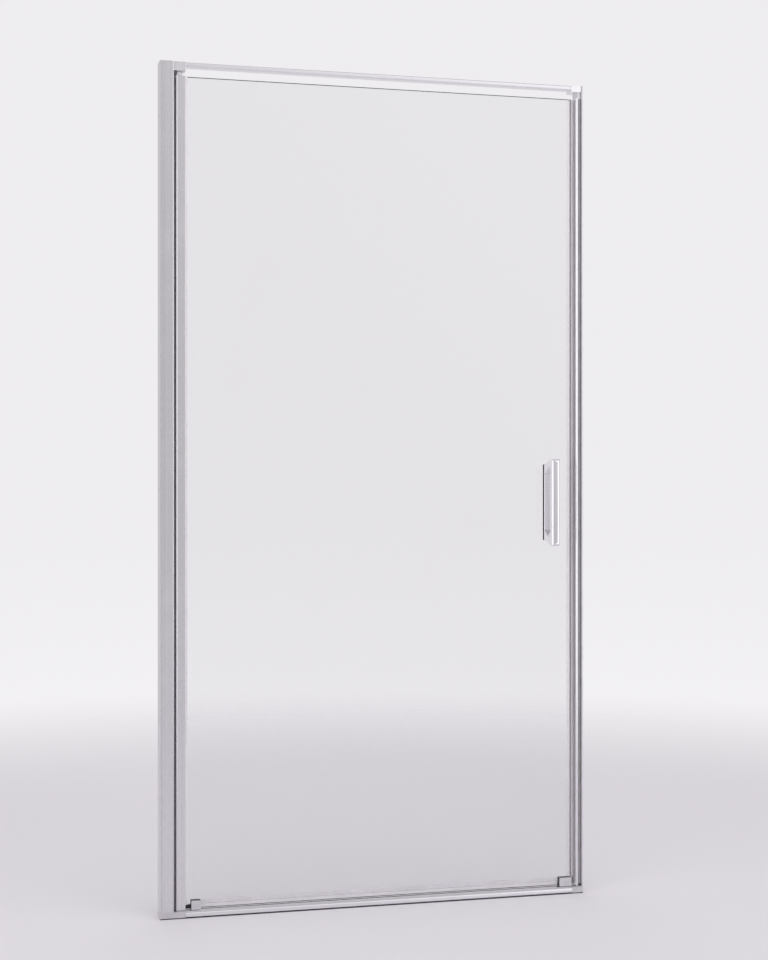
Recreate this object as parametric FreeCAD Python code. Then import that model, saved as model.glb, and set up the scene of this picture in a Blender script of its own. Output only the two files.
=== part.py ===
import FreeCAD, Part
import os
from math import cos, pi, sin, tan

Vector = FreeCAD.Vector

# A framed pivot shower door, in millimetres. X runs along the doorway from the hinge side to the latch
# side, Y runs from the room into the shower and Z is up. The origin lies on the underside of the sill,
# in the middle of its length and depth. The leaf is modelled shut, and opens towards the room.

# Frame.
frame_width = 997.0  # wall to wall, a nominal 1000 door closed in by its wall channels
frame_height = 1900.0
frame_depth = 38.0
sill_height = 16.0
section_wall = 1.6  # wall of the aluminium extrusions
slide_gap = 0.3  # between the wall channels and the jambs that slide over them
seat_gap = 0.1  # between pieces that fit into one another and don't move
pinch_gap = 0.3  # between a moving piece and a fixed one that it nearly touches
least_round = 1.6  # a smaller corner is a bevel

# Wall channels.
foot_width = 4.0  # strip of the channel that shows beside its jamb
hinge_leg_reach = 17.0  # from the wall to the tips of the channel's legs
latch_leg_reach = 9.5
wall_hole_radius = 2.6
wall_hole_inset = 120.0  # from each end of the door to the outer wall fixings

# Hinge jamb.
hinge_jamb_reach = 31.0  # from the wall to the side that faces the leaf
hinge_web_reach = 18.5  # from the wall to the inner web
jamb_corner = 4.0
rear_lip_width = 9.5
lip_corner = 0.8
port_radius = 1.9  # a screw port runs the full length of each jamb
port_y = 11.0
port_land = 7.2
hinge_gap = 5.0  # between the hinge jamb and the leaf's stile

# Latch jamb and strike.
latch_jamb_reach = 12.5
recess_depth = 7.0  # from the frame's front to the latch jamb's face
latch_port_depth = 8.0  # from the wall to the latch jamb's screw port
latch_port_y = 8.0
latch_land = 6.0
strike_width = 5.0
strike_nose = 2.4
strike_rear = 10.0  # how far the strike reaches behind the middle of the glass
strike_magnet_width = 10.0
strike_magnet_depth = 2.4
stop_lip_reach = 6.5
stop_gap = 0.6
cover_strip_depth = 1.6
latch_gap = 2.5  # between the leaf's seal and the strike

# Header and its two blocks.
header_height = 10.0
header_depth = 24.0
header_corner = 4.2
header_bevel = 1.6  # of the hollow in the header
header_wall = 1.5
spigot_bevel = 1.7  # on the edges of the spigots that stand in the header
pivot_block_drop = 20.0  # from the top of the frame to the underside of the pivot block
block_cap_height = 3.0  # cap plate that closes the top of the hinge jamb
latch_block_drop = 15.0
latch_block_reach = 28.5  # from the latch wall to the block's header side
latch_block_depth = 34.0
spigot_length = 14.0
jamb_plug_height = 10.0  # of the blocks' plugs in the jambs
block_corner = 1.2

# Sill and its two end blocks.
sill_nose_out = 2.0  # how far the rounded front stands past its top
sill_foot_in = 2.6  # how far the foot stands back under the rounded front
sill_flat_rear = 6.0  # where the flat top ends and the fall towards the tray begins
sill_rear_height = 8.0
sill_wall = 1.8
pivot_foot_reach = 58.0  # from the hinge wall to the end of the bottom pivot block
latch_foot_reach = 27.5

# Pivots.
pivot_inset = 8.0  # from the stile's outer side to the pivot axis
pin_radius = 4.0
pin_grip = 14.0  # how far the top pin stands in its block
pin_reach = 22.0  # how far a pin stands in the leaf
running_gap = 0.05
bush_wall = 1.0
bush_flange = 1.0
collar_radius = 7.0

# Leaf.
leaf_top_gap = 30.0  # from the top of the frame to the top of the leaf
leaf_foot_gap = 2.0  # from the top of the sill to the leaf's stile
stile_width = 22.0
stile_depth = 24.0
stile_round = 8.0  # rear corner beside the jamb
stile_front_round = 5.0
stile_edge = 1.2
slot_web = 1.2
insert_length = 42.0
glass_thickness = 6.0
glass_bite = 6.3  # how far the glass stands in the stile
glass_end_gap = 0.5
glass_foot_gap = 11.0  # from the top of the sill to the glass
gasket_width = 1.6
gasket_lip = 5.3  # how far the gasket shows past the stile
gasket_lip_depth = 2.2

# Latch-side seal of the leaf.
seal_reach = 5.5  # from the edge of the glass to the tip of the seal
seal_grip = 9.5
seal_skin = 0.8
seal_bulb_depth = 10.0
door_magnet_depth = 2.6
door_magnet_width = 7.0

# Foot of the leaf.
drip_skin = 0.8
drip_grip = 10.0
drip_base = 2.0
drip_fin = 1.0
drip_fin_set_back = 5.0
drip_foot_gap = 0.8  # between the drip seal and the sill
drip_block_height = 20.2
drip_block_front = 14.0  # from the middle of the glass to the block's front
drip_block_rear = 6.5
drip_block_corner = 2.0
hinge_drip_block_width = 22.0
hinge_drip_block_gap = 12.5  # from the stile to the block
latch_drip_block_width = 30.0
latch_drip_block_inset = 1.5

# Handle.
handle_inset = 57.0  # from the edge of the glass to the middle of the handle
handle_height = 920.0
grip_width = 20.0
grip_length = 206.0  # before its corners are rounded
grip_thickness = 12.0
grip_round = 5.0
handle_reach = 56.0  # from the glass to the front of the grip
foot_length = 177.0  # plates on the glass, outside and inside
foot_height = 24.0
leg_height = 14.0
plate_thickness = 3.0
plate_corner = 1.5
pad_thickness = 0.8
pad_margin = 0.5
handle_screw_radius = 3.0
handle_screw_thread = 13.0  # how far a screw stands in the grip's foot
glass_hole_radius = 6.0
handle_screw_head_radius = 5.2
handle_screw_head_height = 2.4

# Screws.
screw_radius = 1.9
screw_length = 12.0
screw_head_radius = 3.4
screw_head_height = 2.2
jamb_screw_count = 3
hinge_screw_depth = 10.0  # from the hinge wall to the row of jamb screws
latch_screw_depth = 7.0
jamb_screw_thread = 5.5

# Places that follow from the sizes.
hinge_wall = -frame_width / 2
latch_wall = frame_width / 2
front = -frame_depth / 2
rear = frame_depth / 2
hinge_jamb_side = hinge_wall + hinge_jamb_reach
latch_jamb_side = latch_wall - latch_jamb_reach
latch_jamb_front = front + recess_depth
rear_lip_front = rear - 2 * section_wall  # front face of the hinge jamb's rear lip
strike_side = latch_jamb_side - strike_width
stile_left = hinge_jamb_side + hinge_gap
stile_right = stile_left + stile_width
pivot_x = stile_left + pivot_inset
stile_sweep = stile_depth / 2  # the stile's rounded side turns inside this radius
leaf_foot = sill_height + leaf_foot_gap
leaf_top = frame_height - leaf_top_gap
glass_foot = sill_height + glass_foot_gap
glass_left = stile_right - glass_bite
glass_right = strike_side - latch_gap - seal_reach
glass_face = glass_thickness / 2
slot_bottom = glass_left - glass_end_gap
chamber_left = stile_left + section_wall
chamber_right = slot_bottom - slot_web
chamber_half = stile_depth / 2 - section_wall
jamb_top = frame_height - block_cap_height
pivot_block_foot = frame_height - pivot_block_drop
latch_block_foot = frame_height - latch_block_drop
header_foot = frame_height - header_height
header_start = stile_right
header_end = latch_wall - latch_block_reach
sill_start = hinge_wall + pivot_foot_reach
sill_end = latch_wall - latch_foot_reach
handle_x = glass_right - handle_inset
screw_offset = foot_length / 2 - foot_height / 2
plate_face = glass_face + pad_thickness + plate_thickness  # outer face of both handle plates
bush_radius = pin_radius + running_gap + bush_wall
port_x = hinge_wall + (hinge_web_reach + hinge_jamb_reach) / 2
latch_port_x = latch_wall - latch_port_depth


# Planes that an outline's two measures lie in.
def flat(height):
    return lambda u, v: Vector(u, v, height)


def side(x):
    return lambda u, v: Vector(x, u, v)


# A closed outline through corners (u, v, size), each rounded by a tangent arc of that radius, or
# bevelled where the corner is small.
def outline(corners, plane):
    points = [Vector(u, v, 0) for u, v, size in corners]
    edges = []
    arcs = []
    for index, corner in enumerate(points):
        size = corners[index][2]
        back = (points[index - 1] - corner).normalize()
        ahead = (points[(index + 1) % len(points)] - corner).normalize()
        half_angle = back.getAngle(ahead) / 2
        reach = size / tan(half_angle)
        inward = (back + ahead).normalize() if size else Vector(0, 0, 0)
        middle = corner + inward * (size / sin(half_angle) - size)
        arcs.append((corner + back * reach, middle, corner + ahead * reach, size))
    for index, (start, middle, end, size) in enumerate(arcs):
        last_end = arcs[index - 1][2]
        if (start - last_end).Length > 1e-6:
            edges.append(Part.LineSegment(plane(*last_end[:2]), plane(*start[:2])).toShape())
        if size >= least_round:
            arc = Part.Arc(plane(*start[:2]), plane(*middle[:2]), plane(*end[:2]))
            edges.append(arc.toShape())
        elif size:
            edges.append(Part.LineSegment(plane(*start[:2]), plane(*end[:2])).toShape())
    return Part.Wire(edges)


def rectangle(u_low, u_high, v_low, v_high, size=0.0):
    return [(u_low, v_low, size), (u_high, v_low, size), (u_high, v_high, size), (u_low, v_high, size)]


# An extrusion of an outline, hollow where it has inner outlines.
def extrusion(corners, plane, along, hollows=()):
    wires = [outline(corners, plane)] + [outline(hollow, plane) for hollow in hollows]
    return Part.makeFace(wires, "Part::FaceMakerBullseye").extrude(along)


# An upright extrusion between two heights.
def upright(corners, low, high, hollows=()):
    return extrusion(corners, flat(low), Vector(0, 0, high - low), hollows)


def block(x_low, x_high, y_low, y_high, z_low, z_high):
    return Part.makeBox(x_high - x_low, y_high - y_low, z_high - z_low, Vector(x_low, y_low, z_low))


def rod(radius, start, end):
    along = end - start
    return Part.makeCylinder(radius, along.Length, start, along)


def drilled(shape, holes):
    return shape.cut(Part.makeCompound(holes)) if holes else shape


# Heights of the wall fixings, on one line.
def wall_fixing_heights():
    return [wall_hole_inset, frame_height / 2, frame_height - wall_hole_inset]


def jamb_screw_heights():
    low = wall_hole_inset + sill_height
    step = (frame_height - 2 * low) / (jamb_screw_count - 1)
    return [low + step * index for index in range(jamb_screw_count)]


# A wall channel's section: a foot as deep as the frame against the wall, and two legs that reach in
# between the legs of the jamb. Notches in the rear leg let the jamb slide to suit the wall, and the
# jamb's screws bite on their edges. depth_at turns a distance from the wall into a place along X.
def wall_channel(depth_at, leg_reach, jamb_front, leg_top, foot_top):
    leg_out = section_wall + slide_gap
    leg_in = leg_out + section_wall
    foot_in = section_wall
    corners = [
        (0, front),
        (foot_width, front),
        (foot_width, jamb_front + leg_out),
        (leg_reach, jamb_front + leg_out),
        (leg_reach, jamb_front + leg_in),
        (foot_in, jamb_front + leg_in),
        (foot_in, rear - leg_in),
        (leg_reach, rear - leg_in),
        (leg_reach, rear - leg_out),
        (foot_width, rear - leg_out),
        (foot_width, rear),
        (0, rear),
    ]
    channel = upright([(depth_at(depth), y, 0) for depth, y in corners], sill_height, foot_top)
    leg_span = sorted([depth_at(foot_width), depth_at(leg_reach)])
    if foot_top > leg_top:
        channel = channel.cut(block(*leg_span, front, rear, leg_top, foot_top))
    notches = [
        block(*leg_span, rear - leg_in, rear - leg_out, height - screw_radius, height + screw_radius)
        for height in jamb_screw_heights()
    ]
    holes = [
        rod(wall_hole_radius, Vector(depth_at(-1), 0, height), Vector(depth_at(foot_width), 0, height))
        for height in wall_fixing_heights()
    ]
    return drilled(channel, holes + notches)


def from_hinge_wall(depth):
    return hinge_wall + depth


def from_latch_wall(depth):
    return latch_wall - depth


# Holes for the screws that join a jamb to its channel, in the jamb's rear leg.
def jamb_screw_holes(x):
    return [
        rod(screw_radius, Vector(x, rear - section_wall - 1, height), Vector(x, rear + 1, height))
        for height in jamb_screw_heights()
    ]


# The hinge jamb: legs over the wall channel, a closed chamber with two screw ports, a rounded front
# edge and a lip behind the leaf's stile.
def hinge_jamb():
    wall_edge = hinge_wall + foot_width + slide_gap
    lip_tip = hinge_jamb_side + rear_lip_width
    inner_face = hinge_wall + hinge_web_reach
    leg_inner = rear - section_wall
    chamber = (inner_face + section_wall, hinge_jamb_side - section_wall)
    section = [
        (wall_edge, front, 0),
        (hinge_jamb_side, front, jamb_corner),
        (hinge_jamb_side, rear_lip_front, lip_corner),
        (lip_tip, rear_lip_front, lip_corner),
        (lip_tip, rear, lip_corner),
        (wall_edge, rear, 0),
        (wall_edge, leg_inner, 0),
        (inner_face, leg_inner, 0),
        (inner_face, -leg_inner, 0),
        (wall_edge, -leg_inner, 0),
    ]
    hollows = [
        rectangle(*chamber, *jamb_chamber_depths(), 0),
        rectangle(*chamber, port_y + port_land / 2, leg_inner, 0),
    ]
    jamb = upright(section, sill_height, jamb_top, hollows)
    port = rod(port_radius, Vector(port_x, port_y, sill_height), Vector(port_x, port_y, jamb_top))
    return drilled(jamb, [port] + jamb_screw_holes(hinge_wall + hinge_screw_depth))


# Front and rear of the hinge jamb's main chamber.
def jamb_chamber_depths():
    return (front + section_wall + jamb_corner / 2, port_y - port_land / 2)


# A plug on a block that stands in that chamber.
def hinge_jamb_plug(low, high):
    chamber_front, chamber_rear = jamb_chamber_depths()
    return block(
        hinge_wall + hinge_web_reach + section_wall + seat_gap,
        hinge_jamb_side - section_wall - seat_gap,
        chamber_front + seat_gap,
        chamber_rear - seat_gap,
        low,
        high,
    )


# A soft strip on the jamb's rear lip, whose fin closes the gap behind the stile.
def hinge_seal():
    base_back = rear_lip_front - seat_gap
    base_front = base_back - 1.8
    base_left = hinge_jamb_side + lip_corner
    base_right = hinge_jamb_side + rear_lip_width - lip_corner
    tip_radius = stile_sweep + pinch_gap
    tip = [pivot_x - tip_radius * cos(angle) for angle in (0.30 * pi, 0.27 * pi)]
    tip_y = [tip_radius * sin(angle) for angle in (0.30 * pi, 0.27 * pi)]
    section = [
        (base_left, base_front, 0),
        (tip[1] - 0.3, tip_y[1] + 0.3, 0),
        (tip[0] - 0.3, tip_y[0] + 0.3, 0),
        (base_left + 2.6, base_front, 0),
        (base_right, base_front, 0),
        (base_right, base_back, 0),
        (base_left, base_back, 0),
    ]
    return upright(section, leaf_foot, leaf_top)


# The latch jamb: a slim section with its face set back behind the strike.
def latch_jamb():
    wall_edge = latch_wall - foot_width - slide_gap
    inner_face = latch_jamb_side + section_wall
    leg_inner = rear - section_wall
    front_inner = latch_jamb_front + section_wall
    land_low = latch_port_y - latch_land / 2
    land_high = latch_port_y + latch_land / 2
    land_edge = latch_port_x + latch_land / 2
    section = [
        (latch_jamb_side, latch_jamb_front, 0.8),
        (wall_edge, latch_jamb_front, 0),
        (wall_edge, front_inner, 0),
        (inner_face, front_inner, 0),
        (inner_face, land_low, 0),
        (land_edge, land_low, 0),
        (land_edge, land_high, 0),
        (inner_face, land_high, 0),
        (inner_face, leg_inner, 0),
        (wall_edge, leg_inner, 0),
        (wall_edge, rear, 0),
        (latch_jamb_side, rear, 0.8),
    ]
    jamb = upright(section, sill_height, latch_block_foot)
    low = Vector(latch_port_x, latch_port_y, sill_height)
    high = Vector(latch_port_x, latch_port_y, latch_block_foot)
    return drilled(jamb, [rod(port_radius, low, high)] + jamb_screw_holes(latch_wall - latch_screw_depth))


# The strike on the latch jamb: a rounded nose in front, a pocket for its magnet and a stop lip behind
# the leaf's seal.
def strike_profile():
    pocket_x = strike_side + strike_magnet_depth + seat_gap
    pocket_y = strike_magnet_width / 2 + seat_gap
    lip_front = seal_bulb_depth / 2 + stop_gap
    lip_rear = lip_front + section_wall
    section = [
        (strike_side, front, strike_nose),
        (latch_jamb_side, front, strike_nose),
        (latch_jamb_side, strike_rear, 0.5),
        (strike_side, strike_rear, 0.5),
        (strike_side, lip_rear, 0),
        (strike_side - stop_lip_reach, lip_rear, 0.5),
        (strike_side - stop_lip_reach, lip_front, 0.5),
        (strike_side, lip_front, 0),
        (strike_side, pocket_y, 0),
        (pocket_x, pocket_y, 0),
        (pocket_x, -pocket_y, 0),
        (strike_side, -pocket_y, 0),
    ]
    return upright(section, leaf_foot, leaf_top)


def strike_magnet():
    magnet = rectangle(
        strike_side,
        strike_side + strike_magnet_depth,
        -strike_magnet_width / 2,
        strike_magnet_width / 2,
        0.4,
    )
    return upright(magnet, leaf_foot, leaf_top)


# A dark strip that closes the latch jamb's recess beside the strike.
def strike_cover_strip():
    left = latch_jamb_side + seat_gap
    right = latch_wall - foot_width - slide_gap
    back = latch_jamb_front
    crown = back - cover_strip_depth
    section = [
        (left, back, 0),
        (left, crown + 0.8, 0),
        ((left + right) / 2, crown, 6.0),
        (right, crown + 0.8, 0),
        (right, back, 0),
    ]
    return upright(section, leaf_foot, leaf_top)


# A spigot that a block sends into the header's or the sill's hollow.
def spigot(x_start, x_end, y_low, y_high, z_low, z_high):
    low, high = sorted([x_start, x_end])
    return block(low, high, y_low, y_high, z_low, z_high)


# The header's hollow and the spigots in it share this outline, an octagon.
def header_hollow(gap, cut):
    half = header_depth / 2 - header_wall - gap
    low = header_foot + header_wall + gap
    high = frame_height - header_wall - gap
    return [
        (-half, low + cut, 0),
        (-half + cut, low, 0),
        (half - cut, low, 0),
        (half, low + cut, 0),
        (half, high - cut, 0),
        (half - cut, high, 0),
        (-half + cut, high, 0),
        (-half, high - cut, 0),
    ]


def header_spigot(x_start, direction):
    section = header_hollow(seat_gap, spigot_bevel)
    return extrusion(section, side(x_start), Vector(direction * spigot_length, 0, 0))


def header_rail():
    half = header_depth / 2
    outer = rectangle(-half, half, header_foot, frame_height, header_corner)
    along = Vector(header_end - header_start, 0, 0)
    return extrusion(outer, side(header_start), along, [header_hollow(0.0, header_bevel)])


# A countersunk screw whose head is flush with the top of the frame.
def downward_screw(x, y, thread_end):
    head_foot = frame_height - screw_head_height
    head = Part.makeCone(
        screw_radius, screw_head_radius, screw_head_height, Vector(x, y, head_foot), Vector(0, 0, 1)
    )
    return head.fuse(rod(screw_radius, Vector(x, y, thread_end), Vector(x, y, head_foot)))


# The top pivot block: a cap over the hinge jamb, a body that hangs beside it and holds the pin, and a
# spigot for the header.
def top_pivot_block():
    half = rear_lip_front - lip_corner
    cap_section = [
        (hinge_wall, front, 0),
        (hinge_jamb_side, front, jamb_corner),
        (hinge_jamb_side, rear, lip_corner),
        (hinge_wall, rear, 0),
    ]
    cap = upright(cap_section, jamb_top, frame_height)
    body_section = [
        (hinge_jamb_side, -half, 0),
        (header_start, -half, block_corner),
        (header_start, half, block_corner),
        (hinge_jamb_side, half, 0),
    ]
    body = upright(body_section, pivot_block_foot, frame_height)
    plug = hinge_jamb_plug(jamb_top - jamb_plug_height, jamb_top)
    whole = cap.fuse([body, plug, header_spigot(header_start, 1)])
    bore = rod(pin_radius, Vector(pivot_x, 0, pivot_block_foot - 1), Vector(pivot_x, 0, top_pin_end()))
    return drilled(whole.removeSplitter(), [bore, hinge_top_screw()])


def top_pin_end():
    return pivot_block_foot + pin_grip


# The header's block on the latch side, over the latch jamb.
def header_latch_block():
    half = latch_block_depth / 2
    right = latch_wall - foot_width - slide_gap
    section = rectangle(header_end, right, -half, half, block_corner)
    body = upright(section, latch_block_foot, frame_height)
    whole = body.fuse(header_spigot(header_end, -1)).removeSplitter()
    return drilled(whole, [latch_top_screw()])


# A countersunk screw through each top block into its jamb's port.
def hinge_top_screw():
    return downward_screw(port_x, port_y, jamb_top - screw_length)


def latch_top_screw():
    return downward_screw(latch_port_x, latch_port_y, latch_block_foot - screw_length)


# Each pin stands in its block and has a collar that the leaf's bush turns against.
def pivot_pin(grip_end, block_face, leaf_end, direction):
    collar_end = leaf_end + direction * (bush_flange + pinch_gap)
    shank_end = leaf_end - direction * pin_reach
    shank = rod(pin_radius, Vector(pivot_x, 0, shank_end), Vector(pivot_x, 0, grip_end))
    collar = rod(collar_radius, Vector(pivot_x, 0, collar_end), Vector(pivot_x, 0, block_face))
    return shank.fuse(collar)


# The sill's section: a rounded front, a flat top and a fall towards the tray.
def sill_section(inset, low):
    nose = front + inset
    top = sill_height - inset
    shoulder = nose + sill_nose_out + sill_height / 4
    rear_edge = rear - inset
    slope = (sill_height - sill_rear_height) / (rear - sill_flat_rear)
    rear_top = top - slope * (rear_edge - sill_flat_rear)
    return [
        (nose + sill_foot_in, low, 1.0),
        (nose, sill_height / 3, 4.0),
        (nose + sill_nose_out / 2, top * 0.75, 2.0),
        (shoulder, top, 1.5),
        (sill_flat_rear, top, 3.0),
        (rear_edge, rear_top, 0.5),
        (rear_edge, low, 0.5),
    ]


def sill_spigot_place():
    gap = sill_wall + seat_gap
    return (front + 4 * sill_nose_out + gap, sill_flat_rear - gap, gap, sill_height - gap)


def sill():
    along = Vector(sill_end - sill_start, 0, 0)
    return extrusion(
        sill_section(0.0, 0.0), side(sill_start), along, [sill_section(sill_wall, sill_wall)]
    )


# The bottom pivot block carries the leaf's pin and the hinge jamb, whose chamber its plug fills, and a
# spigot enters the sill.
def bottom_pivot_block():
    section = [
        (hinge_wall, front, 0),
        (sill_start, front, block_corner),
        (sill_start, rear, block_corner),
        (hinge_wall, rear, 0),
    ]
    body = upright(section, 0, sill_height)
    plug = hinge_jamb_plug(sill_height, sill_height + jamb_plug_height)
    whole = body.fuse([plug, spigot(sill_start, sill_start + spigot_length, *sill_spigot_place())])
    bore = rod(pin_radius, Vector(pivot_x, 0, section_wall), Vector(pivot_x, 0, sill_height + 1))
    return drilled(whole.removeSplitter(), [bore])


def sill_latch_block():
    section = [
        (sill_end, front, block_corner),
        (latch_wall, front, 0),
        (latch_wall, rear, 0),
        (sill_end, rear, block_corner),
    ]
    body = upright(section, 0, sill_height)
    plug = block(
        latch_jamb_side + section_wall + seat_gap,
        latch_wall - foot_width - slide_gap,
        latch_jamb_front + 3 * section_wall,
        latch_port_y - latch_land / 2 - seat_gap,
        sill_height,
        sill_height + jamb_plug_height,
    )
    whole = body.fuse([plug, spigot(sill_end, sill_end - spigot_length, *sill_spigot_place())])
    return whole.removeSplitter()


def jamb_screws(x):
    screws = []
    for height in jamb_screw_heights():
        face = Vector(x, rear, height)
        head = rod(screw_head_radius, face, Vector(x, rear + screw_head_height, height))
        shank = rod(screw_radius, Vector(x, rear - jamb_screw_thread, height), face)
        screws.append(head.fuse(shank))
    return screws


# The leaf's stile: a chamber round the pivot axis, and a slot for the glass with a small chamber on
# each side.
def hinge_stile():
    half = stile_depth / 2
    slot_half = glass_face + gasket_width
    pocket_low = slot_half + slot_web
    pocket_left = slot_bottom
    section = [
        (stile_left, -half, stile_front_round),
        (stile_right, -half, stile_edge),
        (stile_right, -slot_half, 0.4),
        (slot_bottom, -slot_half, 0),
        (slot_bottom, slot_half, 0),
        (stile_right, slot_half, 0.4),
        (stile_right, half, stile_edge),
        (stile_left, half, stile_round),
    ]
    pocket_right = stile_right - section_wall
    hollows = [
        stile_chamber(0.0),
        rectangle(pocket_left, pocket_right, pocket_low, chamber_half),
        rectangle(pocket_left, pocket_right, -chamber_half, -pocket_low),
    ]
    return upright(section, leaf_foot, leaf_top, hollows)


def stile_chamber(gap):
    left, right, half = chamber_left + gap, chamber_right - gap, chamber_half - gap
    return [
        (left, -half, stile_front_round - section_wall - gap),
        (right, -half, 0),
        (right, half, 0),
        (left, half, stile_round - section_wall - gap),
    ]


# Each insert is a drive fit in an end of the stile and holds a pivot bush.
def stile_insert(end, direction):
    low, high = sorted([end, end + direction * insert_length])
    insert = upright(stile_chamber(seat_gap), low, high)
    bore = rod(bush_radius, Vector(pivot_x, 0, end), Vector(pivot_x, 0, end + direction * bush_length()))
    return drilled(insert, [bore])


def bush_length():
    return pin_reach + 2.0


# A bush in the leaf, with a flange that turns against the pin's collar.
def pivot_bush(end, direction):
    inner_end = Vector(pivot_x, 0, end + direction * bush_length())
    flange_end = Vector(pivot_x, 0, end - direction * bush_flange)
    sleeve = rod(bush_radius, Vector(pivot_x, 0, end), inner_end)
    flange = rod(collar_radius, Vector(pivot_x, 0, end), flange_end)
    return sleeve.fuse(flange).cut(rod(pin_radius + running_gap, flange_end, inner_end))


def handle_screw_places():
    return [handle_height - screw_offset, handle_height + screw_offset]


def door_glass():
    pane = block(glass_left, glass_right, -glass_face, glass_face, glass_foot, leaf_top)
    holes = [
        rod(glass_hole_radius, Vector(handle_x, -plate_face, z), Vector(handle_x, plate_face, z))
        for z in handle_screw_places()
    ]
    return drilled(pane, holes)


# A gasket fills the slot beside the glass and shows as a lip along the stile. face is -1 for the
# room side and 1 for the shower side.
def glazing_gasket(face):
    slot_side = face * (glass_face + gasket_width)
    lip_side = face * (glass_face + gasket_lip_depth)
    corners = [
        (slot_bottom, face * glass_face, 0),
        (slot_bottom, slot_side, 0),
        (stile_right + seat_gap, slot_side, 0),
        (stile_right + seat_gap, lip_side, 0.5),
        (stile_right + gasket_lip, lip_side, 1.2),
        (stile_right + gasket_lip, face * glass_face, 0),
    ]
    return upright(corners, glass_foot, leaf_top)


# The latch seal grips the edge of the glass and carries the door's magnet in its bulb.
def door_seal():
    skin_out = glass_face + seal_skin
    tip = glass_right + seal_reach
    bulb = seal_bulb_depth / 2
    neck = tip - door_magnet_depth - 2 * seal_skin
    mouth = glass_right - seal_grip
    section = [
        (mouth, -skin_out, 0),
        (neck, -skin_out, 0),
        (neck, -bulb, 0.6),
        (tip, -bulb, 1.2),
        (tip, bulb, 1.2),
        (neck, bulb, 0.6),
        (neck, skin_out, 0),
        (mouth, skin_out, 0),
        (mouth, glass_face, 0),
        (glass_right, glass_face, 0),
        (glass_right, -glass_face, 0),
        (mouth, -glass_face, 0),
    ]
    return upright(section, seal_foot(), leaf_top, [door_magnet_section(seat_gap)])


def seal_foot():
    return sill_height + drip_foot_gap + drip_block_height + pinch_gap


def door_magnet_section(gap):
    right = glass_right + seal_reach - seal_skin + gap
    left = right - door_magnet_depth - 2 * gap
    half = door_magnet_width / 2 + gap
    return rectangle(left, right, -half, half)


def door_magnet():
    return upright(door_magnet_section(0.0), seal_foot(), leaf_top)


def hinge_drip_block_span():
    low = stile_right + hinge_drip_block_gap
    return (low, low + hinge_drip_block_width)


def latch_drip_block_span():
    high = glass_right - latch_drip_block_inset
    return (high - latch_drip_block_width, high)


# The drip seal clips on the foot of the glass between the two drip blocks, with a fin that falls back
# into the shower.
def drip_seal():
    start = hinge_drip_block_span()[1] + seat_gap
    end = latch_drip_block_span()[0] - seat_gap
    out = glass_face + drip_skin
    base_foot = glass_foot - drip_base
    tip = sill_height + drip_foot_gap
    section = [
        (-out, glass_foot + drip_grip, 0),
        (-out, base_foot, 1.0),
        (-drip_fin / 2, base_foot, 0),
        (drip_fin_set_back - drip_fin, tip, 0),
        (drip_fin_set_back, tip, 0),
        (drip_fin / 2, base_foot, 0),
        (out, base_foot, 1.0),
        (out, glass_foot + drip_grip, 0),
        (glass_face, glass_foot + drip_grip, 0),
        (glass_face, glass_foot, 0),
        (-glass_face, glass_foot, 0),
        (-glass_face, glass_foot + drip_grip, 0),
    ]
    return extrusion(section, side(start), Vector(end - start, 0, 0))


# A drip block grips the foot of the glass and holds an end of the drip seal.
def drip_block(span):
    foot = sill_height + drip_foot_gap
    top = foot + drip_block_height
    plan = [
        (span[0], -drip_block_front, drip_block_corner),
        (span[1], -drip_block_front, drip_block_corner),
        (span[1], drip_block_rear, 0.8),
        (span[0], drip_block_rear, 0.8),
    ]
    body = upright(plan, foot, top)
    slot = block(span[0] - 1, span[1] + 1, -glass_face, glass_face, glass_foot, top + 1)
    return body.cut(slot)


# A dark filler under the glass, between the stile and the first drip block.
def drip_corner_seal():
    span = (stile_right + seat_gap, hinge_drip_block_span()[0] - seat_gap)
    out = glass_face + drip_skin
    return block(*span, -out, out, sill_height + drip_foot_gap, glass_foot)


# The grip: its side outline has two legs that lean outwards from the plate to the bar's ends, and its
# plan rounds the bar's front edges.
def handle_grip():
    outer = foot_length / 2
    inner = outer - foot_height
    bar_end = grip_length / 2
    bar_front = -(glass_face + handle_reach)
    bar_back = bar_front + grip_thickness
    foot = -plate_face
    bar_inner = bar_end - leg_height
    profile = [
        (foot, -outer, 0),
        (bar_front, -bar_end, 7.0),
        (bar_front, bar_end, 7.0),
        (foot, outer, 0),
        (foot, inner, 0),
        (bar_back, bar_inner, 8.0),
        (bar_back, -bar_inner, 8.0),
        (foot, -inner, 0),
    ]
    left = handle_x - grip_width / 2
    placed = [(y, handle_height + z, radius) for y, z, radius in profile]
    body = extrusion(placed, side(left), Vector(grip_width, 0, 0))
    plan = [
        (left, bar_front, grip_round),
        (left + grip_width, bar_front, grip_round),
        (left + grip_width, foot, 1.0),
        (left, foot, 1.0),
    ]
    body = body.common(upright(plan, handle_height - bar_end, handle_height + bar_end))
    threads = [
        rod(
            handle_screw_radius,
            Vector(handle_x, foot - handle_screw_thread, z),
            Vector(handle_x, foot + 1, z),
        )
        for z in handle_screw_places()
    ]
    return drilled(body, threads)


# A plate or pad behind the grip, from one distance off the middle of the glass to another.
def handle_plate(near, far, margin):
    low, high = sorted([near, far])
    half = grip_width / 2 + margin
    reach = foot_length / 2 + margin
    corners = rectangle(
        handle_x - half,
        handle_x + half,
        handle_height - reach,
        handle_height + reach,
        plate_corner,
    )
    wire = outline(corners, lambda u, v: Vector(u, low, v))
    plate = Part.Face(wire).extrude(Vector(0, high - low, 0))
    holes = [
        rod(
            handle_screw_radius + seat_gap,
            Vector(handle_x, low - 1, z),
            Vector(handle_x, high + 1, z),
        )
        for z in handle_screw_places()
    ]
    return drilled(plate, holes)


# Countersunk screws from the shower side, through both plates and the glass into the grip.
def handle_screws():
    return [handle_screw(z) for z in handle_screw_places()]


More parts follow.
